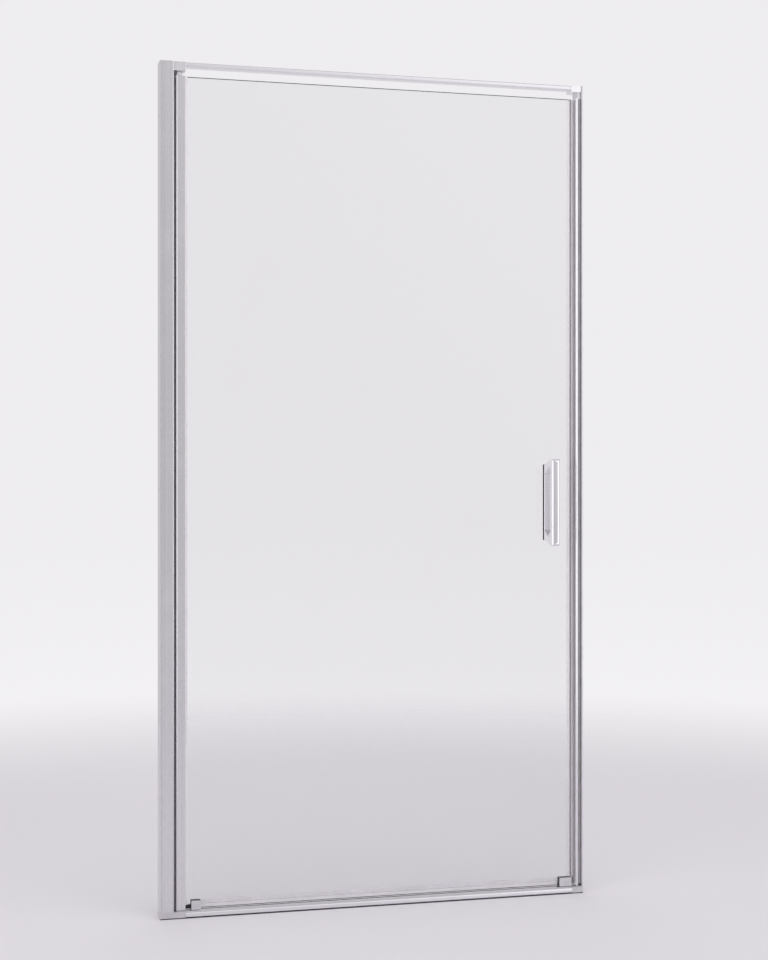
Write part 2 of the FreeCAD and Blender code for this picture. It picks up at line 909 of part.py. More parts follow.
def handle_screw(z):
    head_start = Vector(handle_x, plate_face - handle_screw_head_height, z)
    head = Part.makeCone(
        handle_screw_radius,
        handle_screw_head_radius,
        handle_screw_head_height,
        head_start,
        Vector(0, 1, 0),
    )
    thread_end = Vector(handle_x, -plate_face - handle_screw_thread, z)
    return head.fuse(rod(handle_screw_radius, thread_end, head_start))


def handle_inner_plate():
    return drilled(handle_plate(glass_face + pad_thickness, plate_face, 0.0), handle_screws())


# The outer pad has a sleeve for each screw, which stands in the hole in the glass.
def handle_outer_pad():
    pad = handle_plate(-glass_face, -glass_face - pad_thickness, pad_margin)
    for z in handle_screw_places():
        low = Vector(handle_x, -glass_face, z)
        high = Vector(handle_x, glass_face, z)
        sleeve = rod(glass_hole_radius - seat_gap, low, high)
        pad = pad.fuse(sleeve.cut(rod(handle_screw_radius + seat_gap, low, high)))
    return pad.removeSplitter()


nodes = {
    "hinge_wall_channel": wall_channel(from_hinge_wall, hinge_leg_reach, front, jamb_top, jamb_top),
    "hinge_jamb": hinge_jamb(),
    "hinge_seal": hinge_seal(),
    "latch_wall_channel": wall_channel(
        from_latch_wall, latch_leg_reach, latch_jamb_front, latch_block_foot, frame_height
    ),
    "latch_jamb": latch_jamb(),
    "strike_profile": strike_profile(),
    "strike_magnet": strike_magnet(),
    "strike_cover_strip": strike_cover_strip(),
    "header_rail": header_rail(),
    "top_pivot_block": top_pivot_block(),
    "header_latch_block": header_latch_block(),
    "sill": sill(),
    "bottom_pivot_block": bottom_pivot_block(),
    "sill_latch_block": sill_latch_block(),
    "pivot_pins": [
        pivot_pin(top_pin_end(), pivot_block_foot, leaf_top, 1),
        pivot_pin(section_wall, sill_height, leaf_foot, -1),
    ],
    "hinge_jamb_screws": jamb_screws(hinge_wall + hinge_screw_depth),
    "latch_jamb_screws": jamb_screws(latch_wall - latch_screw_depth),
    "top_block_screws": [hinge_top_screw(), latch_top_screw()],
    "door_glass": door_glass(),
    "hinge_stile": hinge_stile(),
    "stile_inserts": [stile_insert(leaf_top, -1), stile_insert(leaf_foot, 1)],
    "pivot_bushes": [pivot_bush(leaf_top, -1), pivot_bush(leaf_foot, 1)],
    "glazing_gasket_room_side": glazing_gasket(-1),
    "glazing_gasket_shower_side": glazing_gasket(1),
    "door_seal": door_seal(),
    "door_magnet": door_magnet(),
    "drip_seal": drip_seal(),
    "drip_block_hinge_side": drip_block(hinge_drip_block_span()),
    "drip_block_latch_side": drip_block(latch_drip_block_span()),
    "drip_corner_seal": drip_corner_seal(),
    "handle_grip": handle_grip(),
    "handle_base_plate": handle_plate(-glass_face - pad_thickness, -plate_face, 0.0),
    "handle_outer_pad": handle_outer_pad(),
    "handle_inner_plate": handle_inner_plate(),
    "handle_inner_pad": handle_plate(glass_face, glass_face + pad_thickness, pad_margin),
    "handle_screws": handle_screws(),
}

os.makedirs("parts", exist_ok=True)
for name, made in nodes.items():
    shape = Part.makeCompound(made) if isinstance(made, list) else made
    if not shape.isValid() or not shape.Solids:
        raise ValueError(name + " has no valid solid")
    shape.exportStep(os.path.join("parts", name + ".step"))
    print(name, len(shape.Solids), "solids", round(shape.Volume / 1000, 2), "cm3")
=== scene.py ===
from math import atan2, cos, pi, radians, sin, tan

import bpy
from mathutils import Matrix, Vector
from mathutils.geometry import tessellate_polygon


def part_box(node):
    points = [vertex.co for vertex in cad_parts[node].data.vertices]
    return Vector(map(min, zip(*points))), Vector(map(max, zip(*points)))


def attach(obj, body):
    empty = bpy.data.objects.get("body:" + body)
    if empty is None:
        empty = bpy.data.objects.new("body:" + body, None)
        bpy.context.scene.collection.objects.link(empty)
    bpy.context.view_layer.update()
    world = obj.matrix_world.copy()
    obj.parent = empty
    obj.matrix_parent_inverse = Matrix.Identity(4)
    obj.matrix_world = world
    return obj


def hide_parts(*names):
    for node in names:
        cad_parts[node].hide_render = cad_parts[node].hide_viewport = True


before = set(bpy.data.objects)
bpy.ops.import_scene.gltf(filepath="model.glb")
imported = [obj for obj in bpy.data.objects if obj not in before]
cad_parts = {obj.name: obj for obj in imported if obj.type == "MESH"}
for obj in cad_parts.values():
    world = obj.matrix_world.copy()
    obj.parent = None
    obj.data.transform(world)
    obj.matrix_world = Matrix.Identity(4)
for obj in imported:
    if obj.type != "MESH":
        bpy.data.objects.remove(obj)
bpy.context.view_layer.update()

# Pivot shower door. Settings and section corners are in millimetres, with X along the doorway, Y into
# the shower and Z up, and the meshes are in metres.
mm = 0.001


# One output of a node. Used in an expression, it adds the Math nodes that the expression needs.
class Wire:
    def __init__(self, finish, socket):
        self.finish = finish
        self.socket = socket

    def maths(self, operation, *values):
        inputs = dict(enumerate(values))
        return self.finish.node("ShaderNodeMath", {"operation": operation}, inputs)

    def __add__(self, other):
        return self.maths("ADD", self, other)

    def __radd__(self, other):
        return self.maths("ADD", other, self)

    def __sub__(self, other):
        return self.maths("SUBTRACT", self, other)

    def __rsub__(self, other):
        return self.maths("SUBTRACT", other, self)

    def __mul__(self, other):
        return self.maths("MULTIPLY", self, other)

    def __rmul__(self, other):
        return self.maths("MULTIPLY", other, self)

    def within(self, low, high):
        # 0 below low, 1 above high, smooth between
        settings = {"interpolation_type": "SMOOTHSTEP"}
        return self.finish.node("ShaderNodeMapRange", settings, {0: self, 1: low, 2: high})

    def out(self, name):
        return Wire(self.finish, self.socket.node.outputs[name])


class Finish:
    def __init__(self, name, tree=None):
        if tree is None:
            self.material = bpy.data.materials.new(name)
            self.material.use_nodes = True
            tree = self.material.node_tree
        self.tree = tree
        self.tree.nodes.clear()

    # Every node comes from here: its type, then its settings, then its sockets' values or links.
    def node(self, kind, settings=None, inputs=None, output=0):
        made = self.tree.nodes.new(kind)
        for key, value in (settings or {}).items():
            setattr(made, key, value)
        for key, value in (inputs or {}).items():
            if isinstance(value, Wire):
                self.tree.links.new(value.socket, made.inputs[key])
            else:
                made.inputs[key].default_value = value
        if not made.outputs:
            return made
        return Wire(self, made.outputs[output])

    def place(self, *stretch):
        # the surface's own place in metres, scaled per axis
        spot = self.node("ShaderNodeTexCoord").out("Object")
        return self.node("ShaderNodeVectorMath", {"operation": "MULTIPLY"}, {0: spot, 1: stretch})

    def noise(self, stretch, detail=3.0, roughness=0.55):
        inputs = {"Vector": self.place(*stretch), "Scale": 1.0, "Detail": detail, "Roughness": roughness}
        return self.node("ShaderNodeTexNoise", None, inputs)

    def blend(self, factor, first, second):
        inputs = {0: factor, 6: first, 7: second}
        return self.node("ShaderNodeMix", {"data_type": "RGBA"}, inputs, output=2)

    def bump(self, height, distance):
        inputs = {"Height": height, "Distance": distance, "Strength": 1.0}
        return self.node("ShaderNodeBump", None, inputs)

    def surface(self, shader):
        self.node("ShaderNodeOutputMaterial", None, {"Surface": shader})
        return self.material

    def mixed(self, factor, first, second):
        return self.surface(self.node("ShaderNodeMixShader", None, {0: factor, 1: first, 2: second}))

    def principled(self, inputs):
        return self.node("ShaderNodeBsdfPrincipled", None, inputs)

    # Metal or plastic, with its relief given as a height and a distance.
    def opaque(self, colour, metallic, roughness, *relief):
        return self.surface(self.principled({
            "Base Color": colour, "Metallic": metallic, "Roughness": roughness, "Normal": self.bump(*relief),
        }))


# A grey, a little warmer or cooler, with slightly less green in it.
def grey(level, warmth=0.0):
    return (level * (1.012 + warmth), level * 0.985, level * (1.018 - warmth), 1.0)


# Extruded aluminium. The drawing lines of the die run along the bar.
def extrudedMetal(name, along, look):
    finish = Finish(name)
    across = look["lineScale"]
    fine = tuple(0.7 if axis == along else across for axis in "XYZ")
    broad = tuple(0.25 if axis == along else 110.0 for axis in "XYZ")
    lines = finish.noise(fine, 4.0, 0.6)
    bands = finish.noise(broad, 2.0)
    handling = finish.noise((14.0, 14.0, 14.0)).within(0.45, 0.75)
    shade = (lines * 0.45 + bands * 0.55).within(0.28, 0.72)
    colour = finish.blend(shade, grey(look["dark"], -0.012), grey(look["light"], -0.006))
    roughness = look["roughness"] + (lines - 0.5) * look["spread"] + handling * look["spread"] * 0.35
    return finish.opaque(colour, look["metallic"], roughness, lines, look["relief"])


# Cast and bead-blasted or moulded pieces, with a fine even grain.
def grained(name, look):
    finish = Finish(name)
    grain = finish.noise((look["grain"],) * 3, 3.0, 0.6)
    cloud = finish.noise((45.0, 45.0, 45.0)).within(0.3, 0.7)
    colour = finish.blend(cloud, grey(look["dark"], look["warmth"]), grey(look["light"], look["warmth"]))
    roughness = look["roughness"] + (grain - 0.5) * look["spread"] + cloud * 0.03
    return finish.opaque(colour, look["metallic"], roughness, grain, look["relief"])


# Polished chrome with the faint haze that hands leave.
def polishedChrome(name, look):
    finish = Finish(name)
    haze = finish.noise((60.0, 60.0, 35.0), 4.0, 0.6).within(0.42, 0.78)
    micro = finish.noise((1500.0, 1500.0, 1500.0), 2.0)
    colour = finish.blend(haze, grey(look["clean"], -0.01), grey(look["hazed"], -0.004))
    roughness = look["roughness"] + haze * look["hazeRough"] + (micro - 0.5) * 0.02
    return finish.opaque(colour, 1.0, roughness, micro, look["relief"])


# Turned stainless steel, for pins and screws, with fine level grooves.
def turnedSteel(name, look):
    finish = Finish(name)
    grooves = finish.noise((260.0, 260.0, 2600.0), 3.0, 0.6)
    tone = finish.noise((130.0, 130.0, 130.0), 2.0).within(0.3, 0.7)
    colour = finish.blend(tone, grey(look["dark"], 0.004), grey(look["light"]))
    roughness = look["roughness"] + (grooves - 0.5) * look["spread"]
    return finish.opaque(colour, 1.0, roughness, grooves, look["relief"])


# Soft see-through vinyl: a thin skin that lets most light straight through, with faint flow lines.
def clearVinyl(name, look):
    finish = Finish(name)
    flow = finish.noise((700.0, 700.0, 1.5), 3.0, 0.5)
    cloud = finish.noise((30.0, 30.0, 12.0)).within(0.3, 0.75)
    shader = finish.principled({
        "Base Color": finish.blend(cloud, look["clear"], look["cloudy"]),
        "Roughness": look["roughness"] + flow * 0.1 + cloud * 0.06,
        "IOR": 1.48,
        "Normal": finish.bump(flow, look["relief"]),
    })
    through = finish.node("ShaderNodeBsdfTransparent", None, {"Color": look["through"]})
    rim = finish.node("ShaderNodeLayerWeight", None, {"Blend": 0.25}).out("Facing")
    body = look["body"] + rim * look["rim"] + cloud * 0.04
    return finish.mixed(body, through, shader)


# Toughened glass. Its shadow is that of a clear pane.
def paneGlass(name, look):
    finish = Finish(name)
    film = finish.noise((5.0, 5.0, 3.0), 4.0, 0.6).within(0.5, 0.85)
    waves = finish.noise((7.0, 7.0, 2.5), 1.0)
    shader = finish.principled({
        "Base Color": finish.blend(film, look["tint"], look["filmTint"]),
        "Roughness": film * look["filmRough"],
        "IOR": 1.5,
        "Transmission Weight": look["transmission"],
        "Normal": finish.bump(waves, look["wave"]),
    })
    seen = finish.node("ShaderNodeLightPath").out("Is Shadow Ray")
    through = finish.node("ShaderNodeBsdfTransparent", None, {"Color": look["shadow"]})
    return finish.mixed(seen, shader, through)


satin = {
    "dark": 0.70, "light": 0.79, "metallic": 1.0, "roughness": 0.27, "spread": 0.14,
    "lineScale": 1400.0, "relief": 0.000008,
}
bright = {
    "dark": 0.90, "light": 0.95, "metallic": 1.0, "roughness": 0.17, "spread": 0.08,
    "lineScale": 1100.0, "relief": 0.000004,
}
cast = {
    "dark": 0.72, "light": 0.80, "warmth": -0.004, "metallic": 0.95, "roughness": 0.30, "spread": 0.12,
    "grain": 1900.0, "relief": 0.000025,
}
plastic = {
    "dark": 0.30, "light": 0.36, "warmth": 0.0, "metallic": 0.0, "roughness": 0.42, "spread": 0.16,
    "grain": 2100.0, "relief": 0.00003,
}

satinUpright = extrudedMetal("satin aluminium, upright", "Z", satin)
# The level copies, for the header rail and the sill, are lighter than the upright one: painted light.
satinLevelLit = extrudedMetal("satin aluminium, level, painted light", "X", dict(satin, dark=0.88, light=0.95, roughness=0.22))
satinSillLit = extrudedMetal("satin aluminium, sill, painted light", "X", dict(satin, dark=0.87, light=0.94, roughness=0.21))
brightUpright = extrudedMetal("polished aluminium, upright", "Z", bright)
castSilver = grained("cast silver", cast)
# The foot copy is darker: painted shade low down by the floor.
castFootShade = grained("cast silver, foot, painted shade", dict(cast, dark=0.64, light=0.72))
# The polished copy is smoother, and its lighter colour is painted light.
castBrightLit = grained("cast silver, polished and painted light", dict(cast, dark=0.90, light=0.95, roughness=0.20))
silverPlastic = grained("silver plastic", dict(
    plastic, dark=0.60, light=0.68, warmth=-0.004, metallic=0.6, roughness=0.36, spread=0.14, grain=2200.0,
))
# For the stile inserts. On the strike's cover strip its dark grey paints the shade beside the strike's nose.
darkPlasticAndShade = grained("dark plastic and painted shade", plastic)
# For the drip blocks' carriers. On the cover strip's foot its black paints shade.
blackPlasticAndShade = grained("black plastic and painted shade", dict(
    plastic, dark=0.030, light=0.045, roughness=0.45, grain=2000.0,
))
# For the handle's pads. On the foot strip, the drip seal's fin tip and the drip corner seal its black paints
# shade.
blackRubberAndShade = grained("black rubber and painted shade", dict(
    plastic, dark=0.014, light=0.026, roughness=0.62, spread=0.18, grain=1700.0, relief=0.00005,
))
greyVinyl = grained("grey seal", dict(
    plastic, dark=0.80, light=0.86, roughness=0.34, spread=0.14, grain=900.0,
))
magnetStrip = grained("magnet strip", dict(
    plastic, dark=0.84, light=0.90, roughness=0.50, grain=1300.0, relief=0.00004,
))
acetal = grained("acetal, natural", dict(
    plastic, dark=0.70, light=0.76, warmth=0.015, roughness=0.33, spread=0.12, grain=1600.0,
    relief=0.000015,
))
steel = turnedSteel("stainless steel", {
    "dark": 0.58, "light": 0.68, "roughness": 0.24, "spread": 0.16, "relief": 0.00001,
})
chrome = polishedChrome("handle chrome", {
    "clean": 0.86, "hazed": 0.80, "roughness": 0.055, "hazeRough": 0.07, "relief": 0.000004,
})
clearSeal = clearVinyl("clear seal", {
    "clear": (0.93, 0.92, 0.935, 1), "cloudy": (0.87, 0.86, 0.875, 1), "roughness": 0.12,
    "through": (0.985, 0.98, 0.985, 1), "body": 0.10, "rim": 0.42, "relief": 0.00001,
})
glass = paneGlass("clear glass", {
    "tint": (0.915, 0.915, 0.922, 1), "filmTint": (0.905, 0.903, 0.912, 1), "filmRough": 0.012,
    "transmission": 1.0, "wave": 0.00002, "shadow": (0.90, 0.90, 0.91, 1),
})
# Near-black for the pane's edge faces: painted shade, the dark look that the edge of a pane has.
glassEdgeShade = paneGlass("glass edge, painted shade", {
    "tint": (0.055, 0.06, 0.062, 1), "filmTint": (0.08, 0.085, 0.088, 1), "filmRough": 0.25,
    "transmission": 0.2, "wave": 0.00002, "shadow": (0.5, 0.5, 0.51, 1),
})
print("materials made:", len(bpy.data.materials))


# A shell is a list of points and a list of faces. Corners are (u, v, radius), each rounded by an arc.
def rounded(corners):
    loop = []
    for index, (u, v, radius) in enumerate(corners):
        corner = Vector((u, v))
        if not radius:
            loop.append((u, v))
            continue
        back = (Vector(corners[index - 1][:2]) - corner).normalized()
        ahead = (Vector(corners[(index + 1) % len(corners)][:2]) - corner).normalized()
        half = back.angle(ahead) / 2
        centre = corner + (back + ahead).normalized() * (radius / sin(half))
        start = corner + back * (radius / tan(half)) - centre
        end = corner + ahead * (radius / tan(half)) - centre
        first = atan2(start.y, start.x)
        turn = (atan2(end.y, end.x) - first + pi) % (2 * pi) - pi
        steps = max(2, min(12, round(radius * 2) + 2))
        for step in range(steps + 1):
            angle = first + turn * step / steps
            loop.append((centre.x + radius * cos(angle), centre.y + radius * sin(angle)))
    return loop


def rectangle(uLow, uHigh, vLow, vHigh, radius=0.0):
    return [(uLow, vLow, radius), (uHigh, vLow, radius), (uHigh, vHigh, radius), (uLow, vHigh, radius)]


def circle(u, v, radius, steps=20):
    angles = [2 * pi * step / steps for step in range(steps)]
    return [(u + radius * cos(angle), v + radius * sin(angle), 0) for angle in angles]


def placed(axis, u, v, w):
    return {"Z": (u, v, w), "X": (w, u, v), "Y": (u, w, v)}[axis]


# Moves a loop's points square to its sides, into the solid where inward is true.
def offsetLoop(loop, distance, inward):
    spots = [Vector(point) for point in loop]
    count = len(spots)
    area = sum(spots[i - 1].x * spots[i].y - spots[i].x * spots[i - 1].y for i in range(count))
    sign = 1 if (area > 0) == inward else -1
    moved = []
    for index, spot in enumerate(spots):
        before = (spot - spots[index - 1]).normalized()
        after = (spots[(index + 1) % count] - spot).normalized()
        normals = [Vector((-way.y, way.x)) * sign for way in (before, after)]
        middle = (normals[0] + normals[1]).normalized()
        moved.append(tuple(spot + middle * (distance / max(0.3, middle.dot(normals[0])))))
    return moved


softening = {"segments": 3, "fromAngle": 40}


# A bar with a section, hollow where it has holes, from low to high along an axis. Its ends are rounded
# over by soften.
def bar(corners, axis, low, high, holes=(), soften=0.0):
    loops = [rounded(corners)] + [rounded(hole) for hole in holes]
    segments = softening["segments"]
    turns = [pi / 2 * step / segments for step in range(segments + 1)] if soften else [pi / 2]
    rims = [(soften * (1 - sin(turn)), low + soften * (1 - cos(turn))) for turn in turns]
    rims += [(inset, high + low - w) for inset, w in reversed(rims)]
    count = sum(len(loop) for loop in loops)
    points = []
    for inset, w in rims:
        for index, loop in enumerate(loops):
            points += [placed(axis, u, v, w) for u, v in offsetLoop(loop, inset, index == 0)]
    faces = []
    for level in range(len(rims) - 1):
        offset = level * count
        for loop in loops:
            for index in range(len(loop)):
                first, second = offset + index, offset + (index + 1) % len(loop)
                faces.append((first, second, second + count, first + count))
            offset += len(loop)
    if holes:
        caps = tessellate_polygon([[Vector((u, v, 0)) for u, v in loop] for loop in loops])
    else:
        caps = [tuple(range(count))]
    faces += [tuple(cap) for cap in caps]
    last = count * (len(rims) - 1)
    faces += [tuple(index + last for index in cap) for cap in caps]
    return points, faces


def cuboid(low, high):
    return bar(rectangle(low[0], high[0], low[1], high[1]), "Z", low[2], high[2])


# A turned solid. Each ring is a radius, or a function of the angle, and a distance along the axis.
def turned(centre, along, rings, steps=32):
    along = Vector(along).normalized()
    across = Vector((1, 0, 0)) if abs(along.x) < 0.9 else Vector((0, 1, 0))
    third = along.cross(across).normalized()
    across = third.cross(along)
    points = []
    starts = []
    for radius, distance in rings:
        starts.append(len(points))
        if radius == 0:
            points.append(tuple(Vector(centre) + along * distance))
            continue
        for step in range(steps):
            angle = 2 * pi * step / steps
            reach = radius(angle) if callable(radius) else radius
            spot = Vector(centre) + along * distance
            points.append(tuple(spot + across * reach * cos(angle) + third * reach * sin(angle)))
    faces = []
    for index in range(len(rings) - 1):
        low, high = starts[index], starts[index + 1]
        for step in range(steps):
            after = (step + 1) % steps
            if rings[index][0] == 0:
                faces.append((low, high + step, high + after))
            elif rings[index + 1][0] == 0:
                faces.append((low + step, high, low + after))
            else:
                faces.append((low + step, low + after, high + after, high + step))
    return points, faces


# A plain round solid or bore, between two distances along its axis.
def rod(centre, along, radius, start, end, steps=32):
    return turned(centre, along, [(0, start), (radius, start), (radius, end), (0, end)], steps)


def addObject(name, data):
    thing = bpy.data.objects.new(name, data)
    bpy.context.scene.collection.objects.link(thing)
    return thing


def meshOf(name, shells):
    points = []
    faces = []
    for shellPoints, shellFaces in shells:
        start = len(points)
        points += [tuple(value * mm for value in point) for point in shellPoints]
        faces += [tuple(index + start for index in face) for face in shellFaces]
    mesh = bpy.data.meshes.new(name)
    mesh.from_pydata(points, [], faces)
    mesh.validate()
    thing = addObject(name, mesh)
    bpy.context.view_layer.objects.active = thing
    bpy.ops.object.select_all(action="DESELECT")
    thing.select_set(True)
    bpy.ops.object.mode_set(mode="EDIT")
    bpy.ops.mesh.select_all(action="SELECT")
    bpy.ops.mesh.normals_make_consistent(inside=False)
    bpy.ops.object.mode_set(mode="OBJECT")
    return thing


def applied(thing):
    bpy.context.view_layer.update()
    view = bpy.context.evaluated_depsgraph_get()
    mesh = bpy.data.meshes.new_from_object(thing.evaluated_get(view))
    thing.modifiers.clear()
    old, thing.data = thing.data, mesh
    bpy.data.meshes.remove(old)


def carved(thing, shells, operation="DIFFERENCE"):
    cutter = meshOf(thing.name + "Cutter", shells)
    carve = thing.modifiers.new("carve", "BOOLEAN")
    carve.operation = operation
    carve.solver = "EXACT"
    carve.use_self = len(shells) > 1
    carve.object = cutter
    applied(thing)
    bpy.data.objects.remove(cutter)


# Name of the CAD node that a piece stands for, unless its call names another.
def nodeOf(name):
    return "".join("_" + letter.lower() if letter.isupper() else letter for letter in name)


# Makes a piece from shells, softens its edges, and sets it on its body in place of its CAD node. Shells
# that overlap are fused where fused is set.
def piece(name, shells, material, body, node="same", soften=0.0, cuts=(), common=(), smooth=32, fused=False):
    apart = 1 if fused else len(shells)
    thing = meshOf(name, shells[:apart])
    for shell in shells[apart:]:
        carved(thing, [shell], "UNION")
    if cuts:
        carved(thing, cuts)
    if common:
        carved(thing, common, "INTERSECT")
    if soften:
        soft = thing.modifiers.new("soften", "BEVEL")
        soft.width = soften * mm
        soft.segments = softening["segments"]
        soft.limit_method = "ANGLE"
        soft.angle_limit = radians(softening["fromAngle"])
        soft.use_clamp_overlap = True
        applied(thing)
    thing.data.materials.clear()
    thing.data.materials.append(material)
    thing.data.shade_smooth()
    thing.data.set_sharp_from_angle(angle=radians(smooth))
    weighted = thing.modifiers.new("weighted", "WEIGHTED_NORMAL")
    weighted.keep_sharp = True
    applied(thing)
    thing.data.name = name
    if node:
        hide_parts(nodeOf(name) if node == "same" else node)
    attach(thing, body)
    return thing


# A piece that is one bar standing in the place of its CAD node.
def upright(name, section, material, body, node="same", holes=()):
    low, high = span(nodeOf(name) if node == "same" else node)
    return piece(name, [bar(section, "Z", low.z, high.z, holes)], material, body, node)


# The plan of a CAD node that is a plain bar, with a gap round it.
def planOf(node, radius=0.0, gap=0.0):
    low, high = span(node)
    return rectangle(low.x - gap, high.x + gap, low.y - gap, high.y + gap, radius)


# Gives some of a piece's faces a second material.
def accent(thing, material, chosen):
    thing.data.materials.append(material)
    for face in thing.data.polygons:
        if chosen(face.center / mm, face.normal):
            face.material_index = 1


def span(node):
    low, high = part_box(node)
    return low / mm, high / mm


# Sizes that the frame's pieces share.
wall = 1.6      # of the aluminium sections
slideGap = 0.3  # between the wall channels and the jambs
seatGap = 0.1   # between pieces that fit into one another
edge = 0.35     # broken edges of the sections

screwRadius = 1.9
frameLow = span("bottom_pivot_block")[0]
frameTop = span("header_latch_block")[1].z
sillLow, sillHigh = span("sill")
frontY, rearY = sillLow.y, sillHigh.y

jambScrews = {
    "first": 132.0, "count": 3, "headRadius": 3.4, "headHeight": 2.2, "thread": 5.5, "notchPlay": 0.2,
}
screwStep = (frameTop - 2 * jambScrews["first"]) / (jambScrews["count"] - 1)
jambScrewHeights = [jambScrews["first"] + screwStep * index for index in range(jambScrews["count"])]

wallChannel = {"foot": 4.0, "holeRadius": 2.6, "holes": (120.0, 950.0, 1780.0)}


# A fixing channel, whose legs the jamb slides over.
def channelPiece(name, side, jambFront, legTop):
    low, high = span(nodeOf(name))
    start = low.x if side > 0 else high.x
    reach = high.x - low.x
    legOut = wall + slideGap
    legIn = legOut + wall
    foot = wallChannel["foot"]
    corners = [
        (0, frontY, edge), (foot, frontY, edge), (foot, jambFront + legOut, 0),
        (reach, jambFront + legOut, edge), (reach, jambFront + legIn, edge), (wall, jambFront + legIn, 0),
        (wall, rearY - legIn, 0), (reach, rearY - legIn, edge), (reach, rearY - legOut, edge),
        (foot, rearY - legOut, 0), (foot, rearY, edge), (0, rearY, edge),
    ]
    section = [(start + side * depth, y, size) for depth, y, size in corners]
    cuts = []
    for z in wallChannel["holes"]:
        cuts.append(rod((start, 0, z), (side, 0, 0), wallChannel["holeRadius"], -1, foot, 24))
    legs = sorted([start + side * foot, start + side * (reach + 1)])
    play = jambScrews["notchPlay"]
    for z in jambScrewHeights:
        notchLow = (legs[0], rearY - legIn - play, z - screwRadius)
        cuts.append(cuboid(notchLow, (legs[1], rearY - legOut + play, z + screwRadius)))
    if legTop < high.z:
        cuts.append(cuboid((legs[0], frontY - 1, legTop), (legs[1], rearY + 1, high.z + 1)))
    piece(name, [bar(section, "Z", low.z, high.z)], satinUpright, "frame", cuts=cuts)


latchLow, latchHigh = span("latch_jamb")
channelPiece("hingeWallChannel", 1, frontY, frameTop)
channelPiece("latchWallChannel", -1, latchLow.y, latchHigh.z)

hingeJamb = {
    "reach": 31.0, "web": 18.5, "corner": 2.6, "lipCorner": 0.8, "portY": 11.0, "land": 7.2,
}
jambLow, jambHigh = span("hinge_jamb")
jambSide = frameLow.x + hingeJamb["reach"]
jambWeb = frameLow.x + hingeJamb["web"]
lipFront = rearY - 2 * wall
chamberFront = frontY + wall + hingeJamb["corner"] / 2
portX = (jambWeb + jambSide) / 2


# Both sides of the solid land round a jamb's screw port.
def landSides(jamb):
    return [jamb["portY"] + side * jamb["land"] / 2 for side in (-1, 1)]


def hingeJambPiece():
    leg = rearY - wall
    chamber = (jambWeb + wall, jambSide - wall)
    land = landSides(hingeJamb)
    lip = hingeJamb["lipCorner"]
    section = [
        (jambLow.x, frontY, edge), (jambSide, frontY, hingeJamb["corner"]), (jambSide, lipFront, lip),
        (jambHigh.x, lipFront, lip), (jambHigh.x, rearY, lip), (jambLow.x, rearY, edge),
        (jambLow.x, leg, edge), (jambWeb, leg, 0), (jambWeb, -leg, 0), (jambLow.x, -leg, edge),
    ]
    holes = [
        rectangle(*chamber, chamberFront, land[0], 0.5),
        rectangle(*chamber, land[1], leg, 0.3),
        circle(portX, hingeJamb["portY"], screwRadius),
    ]
    upright("hingeJamb", section, satinUpright, "frame", holes=holes)


hingeJambPiece()

latchJamb = {"portDepth": 8.0, "portY": 8.0, "land": 6.0, "corner": 0.8}
latchPort = (-frameLow.x - latchJamb["portDepth"], latchJamb["portY"])


def latchJambPiece():
    low, high = latchLow, latchHigh
    inner = low.x + wall
    land = landSides(latchJamb)
    landEdge = latchPort[0] + latchJamb["land"] / 2
    section = [
        (low.x, low.y, latchJamb["corner"]), (high.x, low.y, edge), (high.x, low.y + wall, edge),
        (inner, low.y + wall, 0), (inner, land[0], 0), (landEdge, land[0], edge),
        (landEdge, land[1], edge), (inner, land[1], 0), (inner, rearY - wall, 0),
        (high.x, rearY - wall, edge), (high.x, rearY, edge), (low.x, rearY, latchJamb["corner"]),
    ]
    upright("latchJamb", section, satinUpright, "frame", holes=[circle(*latchPort, screwRadius)])


latchJambPiece()

strike = {
    "width": 5.0, "nose": 2.4, "rear": 10.0, "lipFront": 5.6, "lipRound": 0.5,
    "pocketDepth": 2.5, "pocketHalf": 5.1, "pocketEdge": 0.15,
}
coverStrip = {
    "crown": 6.0, "leftFall": 0.8, "rightFall": 0.1, "footHeight": 3.0, "footReach": 4.0,
}


def strikePiece():
    low, high = span("strike_profile")
    face = high.x - strike["width"]
    pocket = face + strike["pocketDepth"]
    pocketHalf, pocketEdge = strike["pocketHalf"], strike["pocketEdge"]
    nose, rear, small = strike["nose"], strike["rear"], strike["lipRound"]
    lipFrontY, lipRearY = strike["lipFront"], strike["lipFront"] + wall
    section = [
        (face, low.y, nose), (high.x, low.y, nose), (high.x, rear, small), (face, rear, small),
        (face, lipRearY, 0.3), (low.x, lipRearY, small), (low.x, lipFrontY, small), (face, lipFrontY, 0),
        (face, pocketHalf, pocketEdge), (pocket, pocketHalf, 0), (pocket, -pocketHalf, 0),
        (face, -pocketHalf, pocketEdge),
    ]
    upright("strikeProfile", section, brightUpright, "frame")
    upright("strikeMagnet", planOf("strike_magnet", 0.5), magnetStrip, "frame")
    low, high = span("strike_cover_strip")
    crown = [
        (low.x, high.y, 0.2), (low.x, low.y + coverStrip["leftFall"], 0.3),
        ((low.x + high.x) / 2, low.y, coverStrip["crown"]),
        (high.x, low.y + coverStrip["rightFall"], 0.3), (high.x, high.y, 0.2),
    ]
    footTop = low.z + coverStrip["footHeight"]
    footFront = low.y - coverStrip["footReach"]
    bars = [
        bar(crown, "Z", footTop, high.z),
        cuboid((low.x, footFront, low.z), (high.x, high.y, footTop)),
    ]
    # The cover strip's dark grey paints the shade in the recess beside the strike's nose.
    thing = piece("strikeCoverStrip", bars, darkPlasticAndShade, "frame")
    # Its foot is black: painted shade where the strip meets the sill block.
    accent(thing, blackPlasticAndShade, lambda spot, normal: spot.z < footTop + 0.01)


strikePiece()


hingeSeal = {"base": 1.8, "finFoot": 2.6, "round": 0.3}


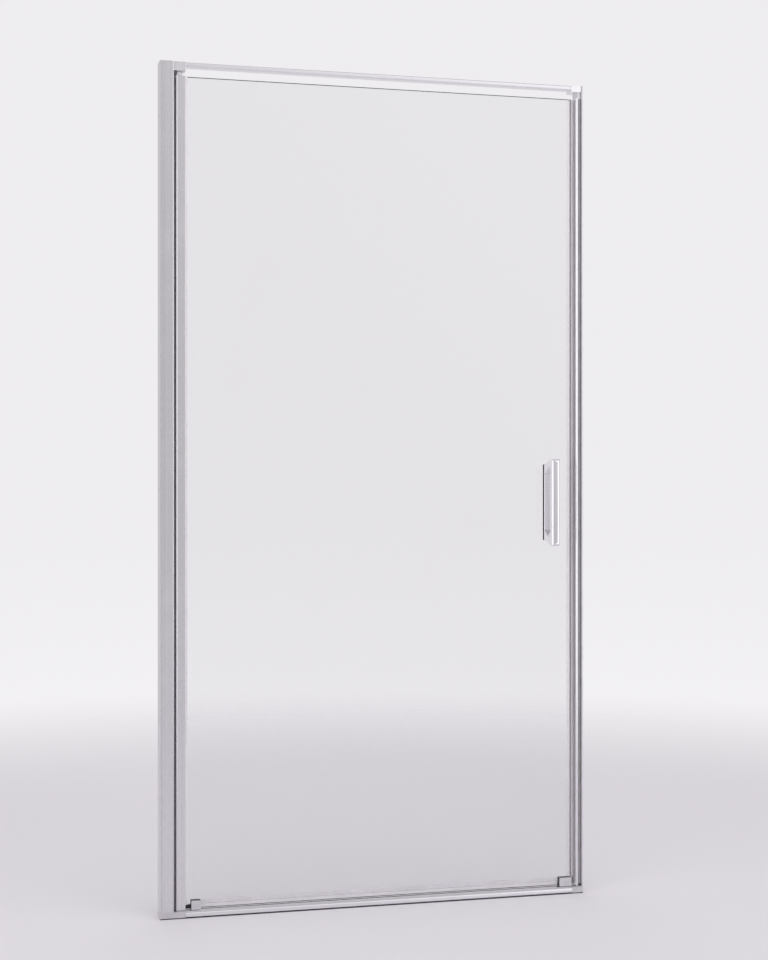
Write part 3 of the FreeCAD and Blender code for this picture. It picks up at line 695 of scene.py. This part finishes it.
# A soft strip in the jamb's rear lip. Its fin reaches to the tip that the CAD's fin has.
def hingeSealPiece():
    low, high = span("hinge_seal")
    base = high.y - hingeSeal["base"]
    size = hingeSeal["round"]
    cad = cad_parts["hinge_seal"].data
    foot = [vertex.co / mm for vertex in cad.vertices if vertex.co.z / mm < low.z + 0.5]
    tip = min(foot, key=lambda spot: spot.y)
    section = [
        (low.x, base, size), (tip.x, tip.y, 0.0), (low.x + hingeSeal["finFoot"], base, size),
        (high.x, base, size), (high.x, high.y, size), (low.x, high.y, size),
    ]
    upright("hingeSeal", section, greyVinyl, "frame")


hingeSealPiece()

header = {"corner": 2.4, "bevel": 1.6, "spigotBevel": 1.7, "wall": 1.5, "spigot": 14.0}
headerLow, headerHigh = span("header_rail")


# Outline of the header's hollow and of the spigots in it, an octagon.
def headerHollow(gap, cut):
    inset = header["wall"] + gap
    front, rear, foot, top = (
        headerLow.y + inset, headerHigh.y - inset, headerLow.z + inset, headerHigh.z - inset,
    )
    return [
        (front, foot + cut, 0), (front + cut, foot, 0), (rear - cut, foot, 0), (rear, foot + cut, 0),
        (rear, top - cut, 0), (rear - cut, top, 0), (front + cut, top, 0), (front, top - cut, 0),
    ]


def headerPiece():
    outer = rectangle(headerLow.y, headerHigh.y, headerLow.z, headerHigh.z, header["corner"])
    inner = headerHollow(0.0, header["bevel"])
    bars = [bar(outer, "X", headerLow.x, headerHigh.x, [inner])]
    # The header rail's lighter satin is painted light.
    piece("headerRail", bars, satinLevelLit, "frame")


headerPiece()


def headerSpigot(start, side):
    ends = sorted([start, start + side * header["spigot"]])
    return bar(headerHollow(seatGap, header["spigotBevel"]), "X", *ends)


# Drive recess of a screw: a cross with tapering wings.
def crossRecess(size):
    return lambda angle: size * (0.36 + 0.64 * abs(cos(2 * angle)) ** 7)


def countersunkScrew(face, into, size, length):
    head, shank, recess = size["head"], size["radius"], size["recess"]
    rings = [
        (0, recess * 0.75), (crossRecess(recess * 0.72), recess * 0.7), (crossRecess(recess), 0.02),
        (head * 0.93, 0.0), (head, 0.12), (shank, size["depth"]), (shank, length - 0.6),
        (shank - 0.5, length), (0, length),
    ]
    return turned(face, into, rings, 48)


def panScrew(face, out):
    head, height, length = jambScrews["headRadius"], jambScrews["headHeight"], jambScrews["thread"]
    rings = [
        (0, height - 1.1), (crossRecess(head * 0.42), height - 1.05),
        (crossRecess(head * 0.55), height - 0.02), (head * 0.6, height), (head * 0.8, height - 0.18),
        (head * 0.94, height - 0.62), (head, height - 1.2), (head, 0.0), (screwRadius, 0.0),
        (screwRadius, -length + 0.5), (screwRadius - 0.5, -length), (0, -length),
    ]
    return turned(face, out, rings, 48)


topScrew = {
    "radius": screwRadius, "head": 3.4, "depth": 2.2, "length": 12.0, "recess": 1.9, "play": 0.05,
}
pivot = {
    "x": -454.5, "radius": 4.0, "grip": 14.0, "collar": 7.0, "reach": 22.0, "flange": 1.0, "turnGap": 0.3,
    "runningGap": 0.05, "bushWall": 1.0, "bushLength": 24.0, "insertLength": 42.0, "tip": 0.6,
    "pinEdge": 0.4, "collarEdge": 0.5,
}
block = {"corner": 1.2, "soften": 0.5, "plug": 10.0, "capHole": 12.0, "latchHole": 30.0}
capFoot = jambHigh.z


# Hole for a countersunk screw from the top of the frame.
def topScrewHole(x, y, length):
    head, depth = topScrew["head"] + topScrew["play"], topScrew["depth"] + topScrew["play"]
    rings = [
        (0, -1.0), (head, -1.0), (head, 0.0), (screwRadius, depth), (screwRadius, length), (0, length),
    ]
    return turned((x, y, frameTop), (0, 0, -1), rings)


def hingePlug(low, high):
    gap = wall + seatGap
    start = (jambWeb + gap, chamberFront + seatGap, low)
    return cuboid(start, (jambSide - gap, landSides(hingeJamb)[0] - seatGap, high))


# Plan of a block's body, with a corner size for its left and one for its right.
def blockPlan(left, right, front, back, leftSize, rightSize):
    return [
        (left, front, leftSize), (right, front, rightSize),
        (right, back, rightSize), (left, back, leftSize),
    ]


def blockPiece(name, material, shells, cuts):
    piece(name, shells, material, "frame", soften=block["soften"], cuts=cuts, fused=True)


def topPivotBlock():
    low = span("top_pivot_block")[0]
    corner, lipCorner = hingeJamb["corner"], hingeJamb["lipCorner"]
    half = lipFront - lipCorner
    cap = [
        (low.x, frontY, 0), (jambSide, frontY, corner), (jambSide, rearY, lipCorner), (low.x, rearY, 0),
    ]
    body = blockPlan(jambSide, headerLow.x, -half, half, 0, block["corner"])
    shells = [bar(cap, "Z", capFoot, frameTop), bar(body, "Z", low.z, frameTop)]
    shells += [hingePlug(capFoot - block["plug"], capFoot), headerSpigot(headerLow.x, 1)]
    cuts = [
        topScrewHole(portX, hingeJamb["portY"], block["capHole"]),
        rod((pivot["x"], 0, low.z), (0, 0, 1), pivot["radius"], -1, pivot["grip"]),
    ]
    blockPiece("topPivotBlock", castSilver, shells, cuts)


topPivotBlock()


def headerLatchBlock():
    low, high = span("header_latch_block")
    section = rectangle(headerHigh.x, high.x, low.y, high.y, block["corner"])
    shells = [bar(section, "Z", low.z, high.z), headerSpigot(headerHigh.x, -1)]
    cuts = [topScrewHole(*latchPort, block["latchHole"])]
    # The latch block's lighter cast silver is painted light.
    blockPiece("headerLatchBlock", castBrightLit, shells, cuts)


headerLatchBlock()

sill = {
    "noseOut": 2.0, "noseRound": 4.2, "faceRound": 4.0, "footRound": 1.0, "topRound": 1.5, "bendRound": 3.0,
    "edge": 0.5, "footIn": 2.6, "flatRear": 6.0, "rearHeight": 8.0, "wall": 1.8,
}


def sillSection(inset, low):
    height = sillHigh.z
    nose = frontY + inset
    top = height - inset
    slope = (height - sill["rearHeight"]) / (rearY - sill["flatRear"])
    back = rearY - inset
    backTop = top - slope * (back - sill["flatRear"])
    return [
        (nose + sill["footIn"], low, sill["footRound"]), (nose, height / 3, sill["faceRound"]),
        (nose + sill["noseOut"] / 2, top * 0.75, sill["noseRound"]),
        (nose + sill["noseOut"] + height / 4, top, sill["topRound"]),
        (sill["flatRear"], top, sill["bendRound"]), (back, backTop, sill["edge"]), (back, low, sill["edge"]),
    ]


def sillSpigot(start, side):
    gap = sill["wall"] + seatGap
    ends = sorted([start, start + side * header["spigot"]])
    front = frontY + 4 * sill["noseOut"] + gap
    section = rectangle(front, sill["flatRear"] - gap, gap, sillHigh.z - gap, 0.3)
    return bar(section, "X", *ends)


contactShade = {"height": 2.0, "setBack": 0.5, "depth": 1.8, "tuck": 0.2, "round": 0.4, "endGap": 0.4}


# A rebate along the foot of a block, in which the black strip of painted contact shade lies.
def contactShadeRebate(low, high):
    back = frontY + contactShade["setBack"] + contactShade["depth"]
    return cuboid((low - 1, frontY - 1, -1), (high + 1, back, contactShade["height"]))


# A black strip along the foot of the sill and its blocks: painted shade, the dark contact line under them.
def beddingStrip():
    start = frontY + contactShade["setBack"]
    back = start + contactShade["depth"] + contactShade["tuck"]
    strip = rectangle(start, back, 0.0, contactShade["height"], contactShade["round"])
    bars = [bar(strip, "X", frameLow.x + contactShade["endGap"], -frameLow.x - contactShade["endGap"])]
    piece("beddingStrip", bars, blackRubberAndShade, "frame", None)


beddingStrip()


def sillPieces():
    inner = sillSection(sill["wall"], sill["wall"])
    bars = [bar(sillSection(0.0, 0.0), "X", sillLow.x, sillHigh.x, [inner])]
    # The sill's lighter satin is painted light.
    piece("sillBar", bars, satinSillLit, "frame", "sill")

    # The foot blocks below take the darker cast silver: painted shade near the floor.
    low, high = span("bottom_pivot_block")
    body = blockPlan(low.x, sillLow.x, frontY, rearY, 0, block["corner"])
    shells = [bar(body, "Z", 0, sillHigh.z), hingePlug(sillHigh.z, high.z), sillSpigot(sillLow.x, 1)]
    bore = rod((pivot["x"], 0, 0), (0, 0, 1), pivot["radius"], wall, sillHigh.z + 1)
    blockPiece("bottomPivotBlock", castFootShade, shells, [bore, contactShadeRebate(low.x, sillLow.x)])

    low, high = span("sill_latch_block")
    body = blockPlan(sillHigh.x, high.x, frontY, rearY, block["corner"], 0)
    plug = cuboid(
        (latchLow.x + wall + seatGap, latchLow.y + 3 * wall, sillHigh.z),
        (latchHigh.x, landSides(latchJamb)[0] - seatGap, high.z),
    )
    shells = [bar(body, "Z", 0, sillHigh.z), plug, sillSpigot(sillHigh.x, -1)]
    blockPiece("sillLatchBlock", castFootShade, shells, [contactShadeRebate(sillHigh.x, high.x)])


sillPieces()


# Pins with their collars, and the screws of the frame.
def pinAndScrewPieces():
    low, high = span("pivot_pins")
    radius, collar, tip, pinEdge = (pivot[key] for key in ("radius", "collar", "tip", "pinEdge"))
    topFace = high.z - pivot["grip"]
    leafFoot, leafTop = (corner.z for corner in span("hinge_stile"))
    shells = []
    for face, end, leafEnd, up in ((topFace, high.z, leafTop, 1), (sillHigh.z, low.z, leafFoot, -1)):
        collarEnd = leafEnd + up * (pivot["flange"] + pivot["turnGap"])
        shankEnd = leafEnd - up * pivot["reach"]
        reach = abs(end - shankEnd)
        thick = abs(face - collarEnd)
        start = abs(collarEnd - shankEnd)
        soft = min(pivot["collarEdge"], thick / 3)
        rings = [
            (0, 0), (radius - tip, 0), (radius, tip), (radius, start), (collar - soft, start),
            (collar, start + soft), (collar, start + thick - soft), (collar - soft, start + thick),
            (radius, start + thick), (radius, reach - pinEdge), (radius - pinEdge, reach), (0, reach),
        ]
        shells.append(turned((pivot["x"], 0, shankEnd), (0, 0, up), rings, 40))
    piece("pivotPins", shells, steel, "frame")

    for name in ("hingeJambScrews", "latchJambScrews"):
        low, high = span(nodeOf(name))
        middle = (low.x + high.x) / 2
        shells = [panScrew((middle, rearY, z), (0, 1, 0)) for z in jambScrewHeights]
        piece(name, shells, steel, "frame", smooth=40)

    shells = [
        countersunkScrew((x, y, frameTop), (0, 0, -1), topScrew, frameTop - foot + topScrew["length"])
        for x, y, foot in ((portX, hingeJamb["portY"], capFoot), (*latchPort, latchHigh.z))
    ]
    piece("topBlockScrews", shells, steel, "frame", smooth=40)


pinAndScrewPieces()
print("frame made")

stile = {
    "round": 8.0, "frontRound": 5.0, "edge": 1.2, "slotEdge": 0.4, "chamberEdge": 0.3, "slotWeb": 1.2,
    "slotGap": 0.5, "gasket": 1.6, "gasketLip": 2.2, "capGap": 0.4, "capHole": 7.4,
}
stileLow, stileHigh = span("hinge_stile")
glassLow, glassHigh = span("door_glass")
glassFace = glassHigh.y
slotBottom = glassLow.x - stile["slotGap"]


def stileChamber(gap):
    left, right = stileLow.x + wall + gap, slotBottom - stile["slotWeb"] - gap
    half = stileHigh.y - wall - gap
    frontSize, rearSize = stile["frontRound"] - wall - gap, stile["round"] - wall - gap
    return [(left, -half, frontSize), (right, -half, 0.2), (right, half, 0.2), (left, half, rearSize)]


def stilePieces():
    half = stileHigh.y
    slotHalf = glassFace + stile["gasket"]
    slotEdge = stile["slotEdge"]
    section = [
        (stileLow.x, -half, stile["frontRound"]), (stileHigh.x, -half, stile["edge"]),
        (stileHigh.x, -slotHalf, slotEdge), (slotBottom, -slotHalf, 0), (slotBottom, slotHalf, 0),
        (stileHigh.x, slotHalf, slotEdge), (stileHigh.x, half, stile["edge"]),
        (stileLow.x, half, stile["round"]),
    ]
    pocket = (slotBottom, stileHigh.x - wall)
    holes = [
        stileChamber(0.0),
        rectangle(*pocket, slotHalf + stile["slotWeb"], half - wall, stile["chamberEdge"]),
        rectangle(*pocket, wall - half, -slotHalf - stile["slotWeb"], stile["chamberEdge"]),
    ]
    upright("hingeStile", section, satinUpright, "leaf", holes=holes)

    cap = [(u, v, size) for u, v, size in section if abs(v) == half]
    capHole = circle(pivot["x"], 0, stile["capHole"], 40)
    bars = [bar(cap, "Z", sillHigh.z + stile["capGap"], stileLow.z, [capHole])]
    piece("stileFootCap", bars, silverPlastic, "leaf", None)

    bore, collar = pivot["radius"] + pivot["runningGap"], pivot["collar"]
    bush = pivot["radius"] + (pivot["bushWall"] + pivot["runningGap"])
    flange, length = pivot["flange"], pivot["bushLength"]
    inserts = []
    bushes = []
    for end, up in ((stileHigh.z, -1), (stileLow.z, 1)):
        ends = sorted([end, end + up * pivot["insertLength"]])
        inserts.append(bar(stileChamber(seatGap), "Z", *ends, [circle(pivot["x"], 0, bush, 32)]))
        rings = [
            (bore, -flange), (collar - 0.3, -flange), (collar, 0.3 - flange), (collar, 0), (bush, 0),
            (bush, length), (bore, length), (bore, -flange),
        ]
        bushes.append(turned((pivot["x"], 0, end), (0, 0, up), rings, 40))
    piece("stileInserts", inserts, darkPlasticAndShade, "leaf")
    piece("pivotBushes", bushes, acetal, "leaf")

    for name, node, face in (
        ("gasketRoomSide", "glazing_gasket_room_side", -1),
        ("gasketShowerSide", "glazing_gasket_shower_side", 1),
    ):
        low, high = span(node)
        lip = face * (glassFace + stile["gasketLip"])
        section = [
            (low.x, face * glassFace, 0.1), (low.x, face * slotHalf, 0.1),
            (stileHigh.x + seatGap, face * slotHalf, 0), (stileHigh.x + seatGap, lip, 0.5),
            (high.x, lip, 1.2), (high.x, face * glassFace, 0.15),
        ]
        upright(name, section, greyVinyl, "leaf", node)


stilePieces()

handle = {
    "x": 416.0, "height": 920.0, "width": 20.0, "length": 206.0, "thick": 12.0, "round": 6.0,
    "reach": 56.0, "footLength": 177.0, "footHeight": 24.0, "legHeight": 14.0, "plateCorner": 1.5,
    "endRound": 7.0, "innerRound": 8.0, "soften": 0.7, "pad": 0.8, "padMargin": 0.5,
    "basePlateSoften": 1.3, "innerPlateSoften": 0.4,
}
handleScrew = {"radius": 3.0, "head": 5.2, "depth": 2.4, "thread": 13.0, "recess": 2.9, "play": 0.02}
holeRadius = 6.0
plateFace = -span("handle_base_plate")[0].y
screwPlaces = [
    handle["height"] + side * (handle["footLength"] - handle["footHeight"]) / 2 for side in (-1, 1)
]


def gripPiece():
    outer = handle["footLength"] / 2
    inner = outer - handle["footHeight"]
    end = handle["length"] / 2
    front = -(glassFace + handle["reach"])
    back = front + handle["thick"]
    barInner = end - handle["legHeight"]
    profile = [
        (-plateFace, -outer, 0), (front, -end, handle["endRound"]), (front, end, handle["endRound"]),
        (-plateFace, outer, 0), (-plateFace, inner, 0), (back, barInner, handle["innerRound"]),
        (back, -barInner, handle["innerRound"]), (-plateFace, -inner, 0),
    ]
    raised = [(y, handle["height"] + z, size) for y, z, size in profile]
    half = handle["width"] / 2
    left, right = handle["x"] - half, handle["x"] + half
    plan = [
        (left, front, handle["round"]), (right, front, handle["round"]),
        (right, -plateFace, 1.0), (left, -plateFace, 1.0),
    ]
    z = handle["height"]
    threads = [
        rod((handle["x"], -plateFace, place), (0, -1, 0), handleScrew["radius"], -1, handleScrew["thread"])
        for place in screwPlaces
    ]
    body = bar(raised, "X", left - 1, right + 1)
    common = [bar(plan, "Z", z - end - 5, z + end + 5)]
    piece("handleGrip", [body], chrome, "leaf", soften=handle["soften"], common=common, cuts=threads)


gripPiece()


# A plate or pad against the glass, between two depths.
def plateShell(near, far, margin, holeSize, soften=0.0):
    half = handle["width"] / 2 + margin
    reach = handle["footLength"] / 2 + margin
    section = rectangle(
        handle["x"] - half, handle["x"] + half, handle["height"] - reach, handle["height"] + reach,
        handle["plateCorner"],
    )
    holes = [circle(handle["x"], place, holeSize, 32) for place in screwPlaces]
    return bar(section, "Y", *sorted([near, far]), holes, soften)


def platePieces():
    fit = handleScrew["radius"] + seatGap
    pad, margin = glassFace + handle["pad"], handle["padMargin"]
    head, depth = handleScrew["head"], handleScrew["depth"] + handleScrew["play"]
    seat = [(0, -1), (head, -1), (head, 0), (handleScrew["radius"] + handleScrew["play"], depth), (0, depth)]
    seats = [turned((handle["x"], plateFace, place), (0, -1, 0), seat, 48) for place in screwPlaces]
    for name, ends, size, cuts in (
        ("handleBasePlate", (-pad, -plateFace), handle["basePlateSoften"], ()),
        ("handleInnerPlate", (pad, plateFace), handle["innerPlateSoften"], seats),
    ):
        piece(name, [plateShell(*ends, 0.0, fit, size)], chrome, "leaf", cuts=cuts)
    outer, length = holeRadius - seatGap, 2 * glassFace
    tube = [(fit, 0), (outer, 0), (outer, length), (fit, length), (fit, 0)]
    sleeves = [turned((handle["x"], -glassFace, place), (0, 1, 0), tube) for place in screwPlaces]
    for name, side, inside in (("handleOuterPad", -1, sleeves), ("handleInnerPad", 1, [])):
        pads = [plateShell(side * glassFace, side * pad, margin, fit)] + inside
        piece(name, pads, blackRubberAndShade, "leaf")
    length = 2 * plateFace + handleScrew["thread"]
    screws = [
        countersunkScrew((handle["x"], plateFace, place), (0, -1, 0), handleScrew, length)
        for place in screwPlaces
    ]
    piece("handleScrews", screws, steel, "leaf", smooth=40)


platePieces()

pane = {"arris": 1.1, "sideFacing": 0.97, "downFacing": -0.2}


def panePiece():
    section = rectangle(glassLow.x, glassHigh.x, glassLow.z, glassHigh.z)
    holes = [circle(handle["x"], place, holeRadius, 40) for place in screwPlaces]
    bars = [bar(section, "Y", glassLow.y, glassHigh.y, holes, pane["arris"])]
    thing = piece("doorGlass", bars, glass, "leaf")
    # the edge faces, but for those that face down, get a near-black that paints the dark look the edge of a
    # pane has
    accent(thing, glassEdgeShade, lambda spot, normal: (
        abs(normal.y) < pane["sideFacing"] and normal.z > pane["downFacing"]
    ))


panePiece()

seal = {"skin": 0.8, "magnetDepth": 2.6}


def latchSealPieces():
    low, high = span("door_seal")
    skin = glassFace + seal["skin"]
    neck = high.x - seal["magnetDepth"] - 2 * seal["skin"]
    section = [
        (low.x, -skin, 0.25), (neck, -skin, 0.2), (neck, low.y, 0.6), (high.x, low.y, 1.2),
        (high.x, high.y, 1.2), (neck, high.y, 0.6), (neck, skin, 0.2), (low.x, skin, 0.25),
        (low.x, glassFace, 0), (glassHigh.x, glassFace, 0), (glassHigh.x, -glassFace, 0),
        (low.x, -glassFace, 0),
    ]
    upright("doorSeal", section, clearSeal, "leaf", holes=[planOf("door_magnet", gap=seatGap)])
    upright("doorMagnet", planOf("door_magnet", 0.3), magnetStrip, "leaf")


latchSealPieces()

drip = {
    "skin": 0.8, "grip": 10.0, "base": 2.0, "fin": 1.0, "setBack": 5.0, "lip": 1.4, "corner": 1.2,
    "soften": 0.9, "cover": 2.4, "step": 0.4, "seam": 1.8,
}


def dripPieces():
    low, high = span("drip_seal")
    out = glassFace + drip["skin"]
    foot = glassLow.z - drip["base"]
    top = glassLow.z + drip["grip"]
    half = drip["fin"] / 2
    lipTop = low.z + drip["lip"]
    lean = (drip["setBack"] - half) * (foot - lipTop) / (foot - low.z)
    section = [
        (-out, top, 0.25), (-out, foot, 1.0), (-half, foot, 0.2), (lean - half, lipTop, 0),
        (drip["setBack"] - drip["fin"], low.z, 0.1), (drip["setBack"], low.z, 0.1),
        (lean + half, lipTop, 0), (half, foot, 0.3), (out, foot, 1.0), (out, top, 0.25),
        (glassFace, top, 0), (glassFace, glassLow.z, 0), (-glassFace, glassLow.z, 0), (-glassFace, top, 0),
    ]
    thing = piece("dripSeal", [bar(section, "X", low.x, high.x)], clearSeal, "leaf")
    # The fin's tip is black: painted shade, the thin shadow gap between the seal and the sill.
    accent(thing, blackRubberAndShade, lambda spot, normal: spot.z < lipTop)

    # a silver cover in front of a black carrier
    for name, node in (
        ("dripBlockHinge", "drip_block_hinge_side"), ("dripBlockLatch", "drip_block_latch_side"),
    ):
        low, high = span(node)
        coverBack = low.y + drip["cover"]
        face = rectangle(low.x, high.x, low.z, high.z, drip["corner"])
        cover = bar(face, "Y", low.y, coverBack, soften=drip["soften"])
        carrierTop = high.z - drip["step"]
        channel = [
            (coverBack, low.z, 0.3), (high.y, low.z, 0.6), (high.y, carrierTop, 0.6),
            (glassFace, carrierTop, 0.3), (glassFace, glassLow.z, 0), (-glassFace, glassLow.z, 0),
            (-glassFace, carrierTop, 0.3), (coverBack, carrierTop, 0.3),
        ]
        carrier = bar(channel, "X", low.x + drip["step"], high.x - drip["step"], soften=0.3)
        thing = piece(name, [cover, carrier], silverPlastic, "leaf", node)
        accent(thing, blackPlasticAndShade, lambda spot, normal: spot.y > coverBack - 0.01)

    # A black filler under the glass beside the stile: its black paints the dark opening there. Its foot is
    # silver.
    low, high = span("drip_corner_seal")
    seam = low.z + drip["seam"]
    bars = [
        bar(rectangle(low.y, high.y, foot, top, 0.6), "X", low.x, high.x)
        for foot, top in ((seam, high.z), (low.z, seam))
    ]
    thing = piece("dripCornerSeal", bars, blackRubberAndShade, "leaf")
    accent(thing, silverPlastic, lambda spot, normal: spot.z < seam - 0.01)


dripPieces()

# The camera sees the backdrop. Reflections and light come from the surround, which is dim straight
# behind the camera and bright to the upper right and at the sides.
studio = {
    "backdrop": 0.86, "horizon": 0.95, "tint": (1.0, 0.984, 1.008), "floor": 0.84, "floorRadius": 5.0,
    "floorSteps": 96, "floorDrop": 0.0002, "fadeStart": 1.6, "fadeEnd": 4.2,
}
surround = {"behind": 0.55, "upperRight": 1.04, "sides": 1.06, "ahead": 0.68, "above": 0.50, "below": 0.72}
lamps = [
    {"name": "overheadLamp", "from": (-0.3, -1.5, 3.3), "to": (0.0, 0.0, 0.9), "size": (2.6, 1.2),
     "power": 18.0, "mirrored": False},
    {"name": "rightLamp", "from": (2.3, -2.5, 1.1), "to": (0.2, 0.0, 1.0), "size": (0.9, 3.0),
     "power": 9.0, "mirrored": True},
    {"name": "leftLamp", "from": (-2.9, -2.0, 1.1), "to": (0.0, 0.0, 1.0), "size": (0.8, 3.0),
     "power": 8.0, "mirrored": True},
    {"name": "rearLamp", "from": (0.4, 2.6, 3.0), "to": (0.0, 0.0, 1.0), "size": (2.4, 2.4),
     "power": 14.0, "mirrored": False},
]


def studioWorld():
    world = bpy.data.worlds.new("studio")
    bpy.context.scene.world = world
    world.use_nodes = True
    sky = Finish("studio", world.node_tree)
    way = sky.node("ShaderNodeTexCoord").out("Generated")
    parts = sky.node("ShaderNodeSeparateXYZ", None, {0: way})
    x, y, z = (parts.out(axis) for axis in "XYZ")
    low = (z * -1.0).within(0.0, 0.3)
    level = surround["behind"]
    for mask, name in (
        ((x + z * 0.8).within(0.28, 0.54), "upperRight"), (x.within(0.42, 0.8), "sides"),
        ((x * -1.0).within(0.08, 0.42), "sides"), (y.within(-0.1, 0.45), "ahead"),
        (z.within(0.5, 0.85), "above"), (low, "below"),
    ):
        level = level + mask * (surround[name] - level)
    rays = sky.node("ShaderNodeLightPath")
    seen = rays.out("Is Camera Ray") + rays.out("Is Transmission Ray")
    backdrop = studio["backdrop"] + low * (studio["horizon"] - studio["backdrop"])
    level = level + seen * (backdrop - level)
    tinted = {index: level * share for index, share in enumerate(studio["tint"])}
    colour = sky.node("ShaderNodeCombineColor", None, tinted)
    shader = sky.node("ShaderNodeBackground", None, {"Color": colour, "Strength": 1.0})
    sky.node("ShaderNodeOutputWorld", None, {"Surface": shader})


def studioFloor():
    rim = circle(0, 0, studio["floorRadius"], studio["floorSteps"])
    mesh = bpy.data.meshes.new("floor")
    mesh.from_pydata([(*corner[:2], -studio["floorDrop"]) for corner in rim], [], [tuple(range(len(rim)))])
    floor = addObject("floor", mesh)
    paint = Finish("floor")
    spot = paint.node("ShaderNodeTexCoord").out("Object")
    reach = paint.node("ShaderNodeVectorMath", {"operation": "LENGTH"}, {0: spot}, output="Value")
    away = reach.within(studio["fadeStart"], studio["fadeEnd"])
    diffuse = paint.node("ShaderNodeBsdfDiffuse", None, {"Color": grey(studio["floor"], -0.003)})
    clear = paint.node("ShaderNodeBsdfTransparent")
    mesh.materials.append(paint.mixed(away, diffuse, clear))


def areaLamp(settings):
    data = bpy.data.lights.new(settings["name"], "AREA")
    data.shape = "RECTANGLE"
    data.size, data.size_y = settings["size"]
    data.energy = settings["power"]
    lamp = addObject(settings["name"], data)
    lamp.visible_camera = False
    lamp.visible_transmission = False
    lamp.visible_glossy = settings["mirrored"]
    lamp.location = settings["from"]
    toward = Vector(settings["to"]) - Vector(settings["from"])
    lamp.rotation_euler = toward.to_track_quat("-Z", "Y").to_euler()


shot = {
    "place": (-1.0092, -3.8698, 0.9722), "turn": -14.87, "lens": 65.44, "film": 36.0,
    "near": 0.05, "far": 100.0,
}


def photoCamera():
    data = bpy.data.cameras.new("camera")
    data.sensor_width = shot["film"]
    data.lens = shot["lens"]
    data.clip_start = shot["near"]
    data.clip_end = shot["far"]
    camera = addObject("camera", data)
    camera.location = shot["place"]
    camera.rotation_euler = (radians(90), 0, radians(shot["turn"]))
    bpy.context.scene.camera = camera


studioWorld()
studioFloor()
for settings in lamps:
    areaLamp(settings)
photoCamera()
bpy.context.scene.view_settings.view_transform = "Standard"
print("studio made")
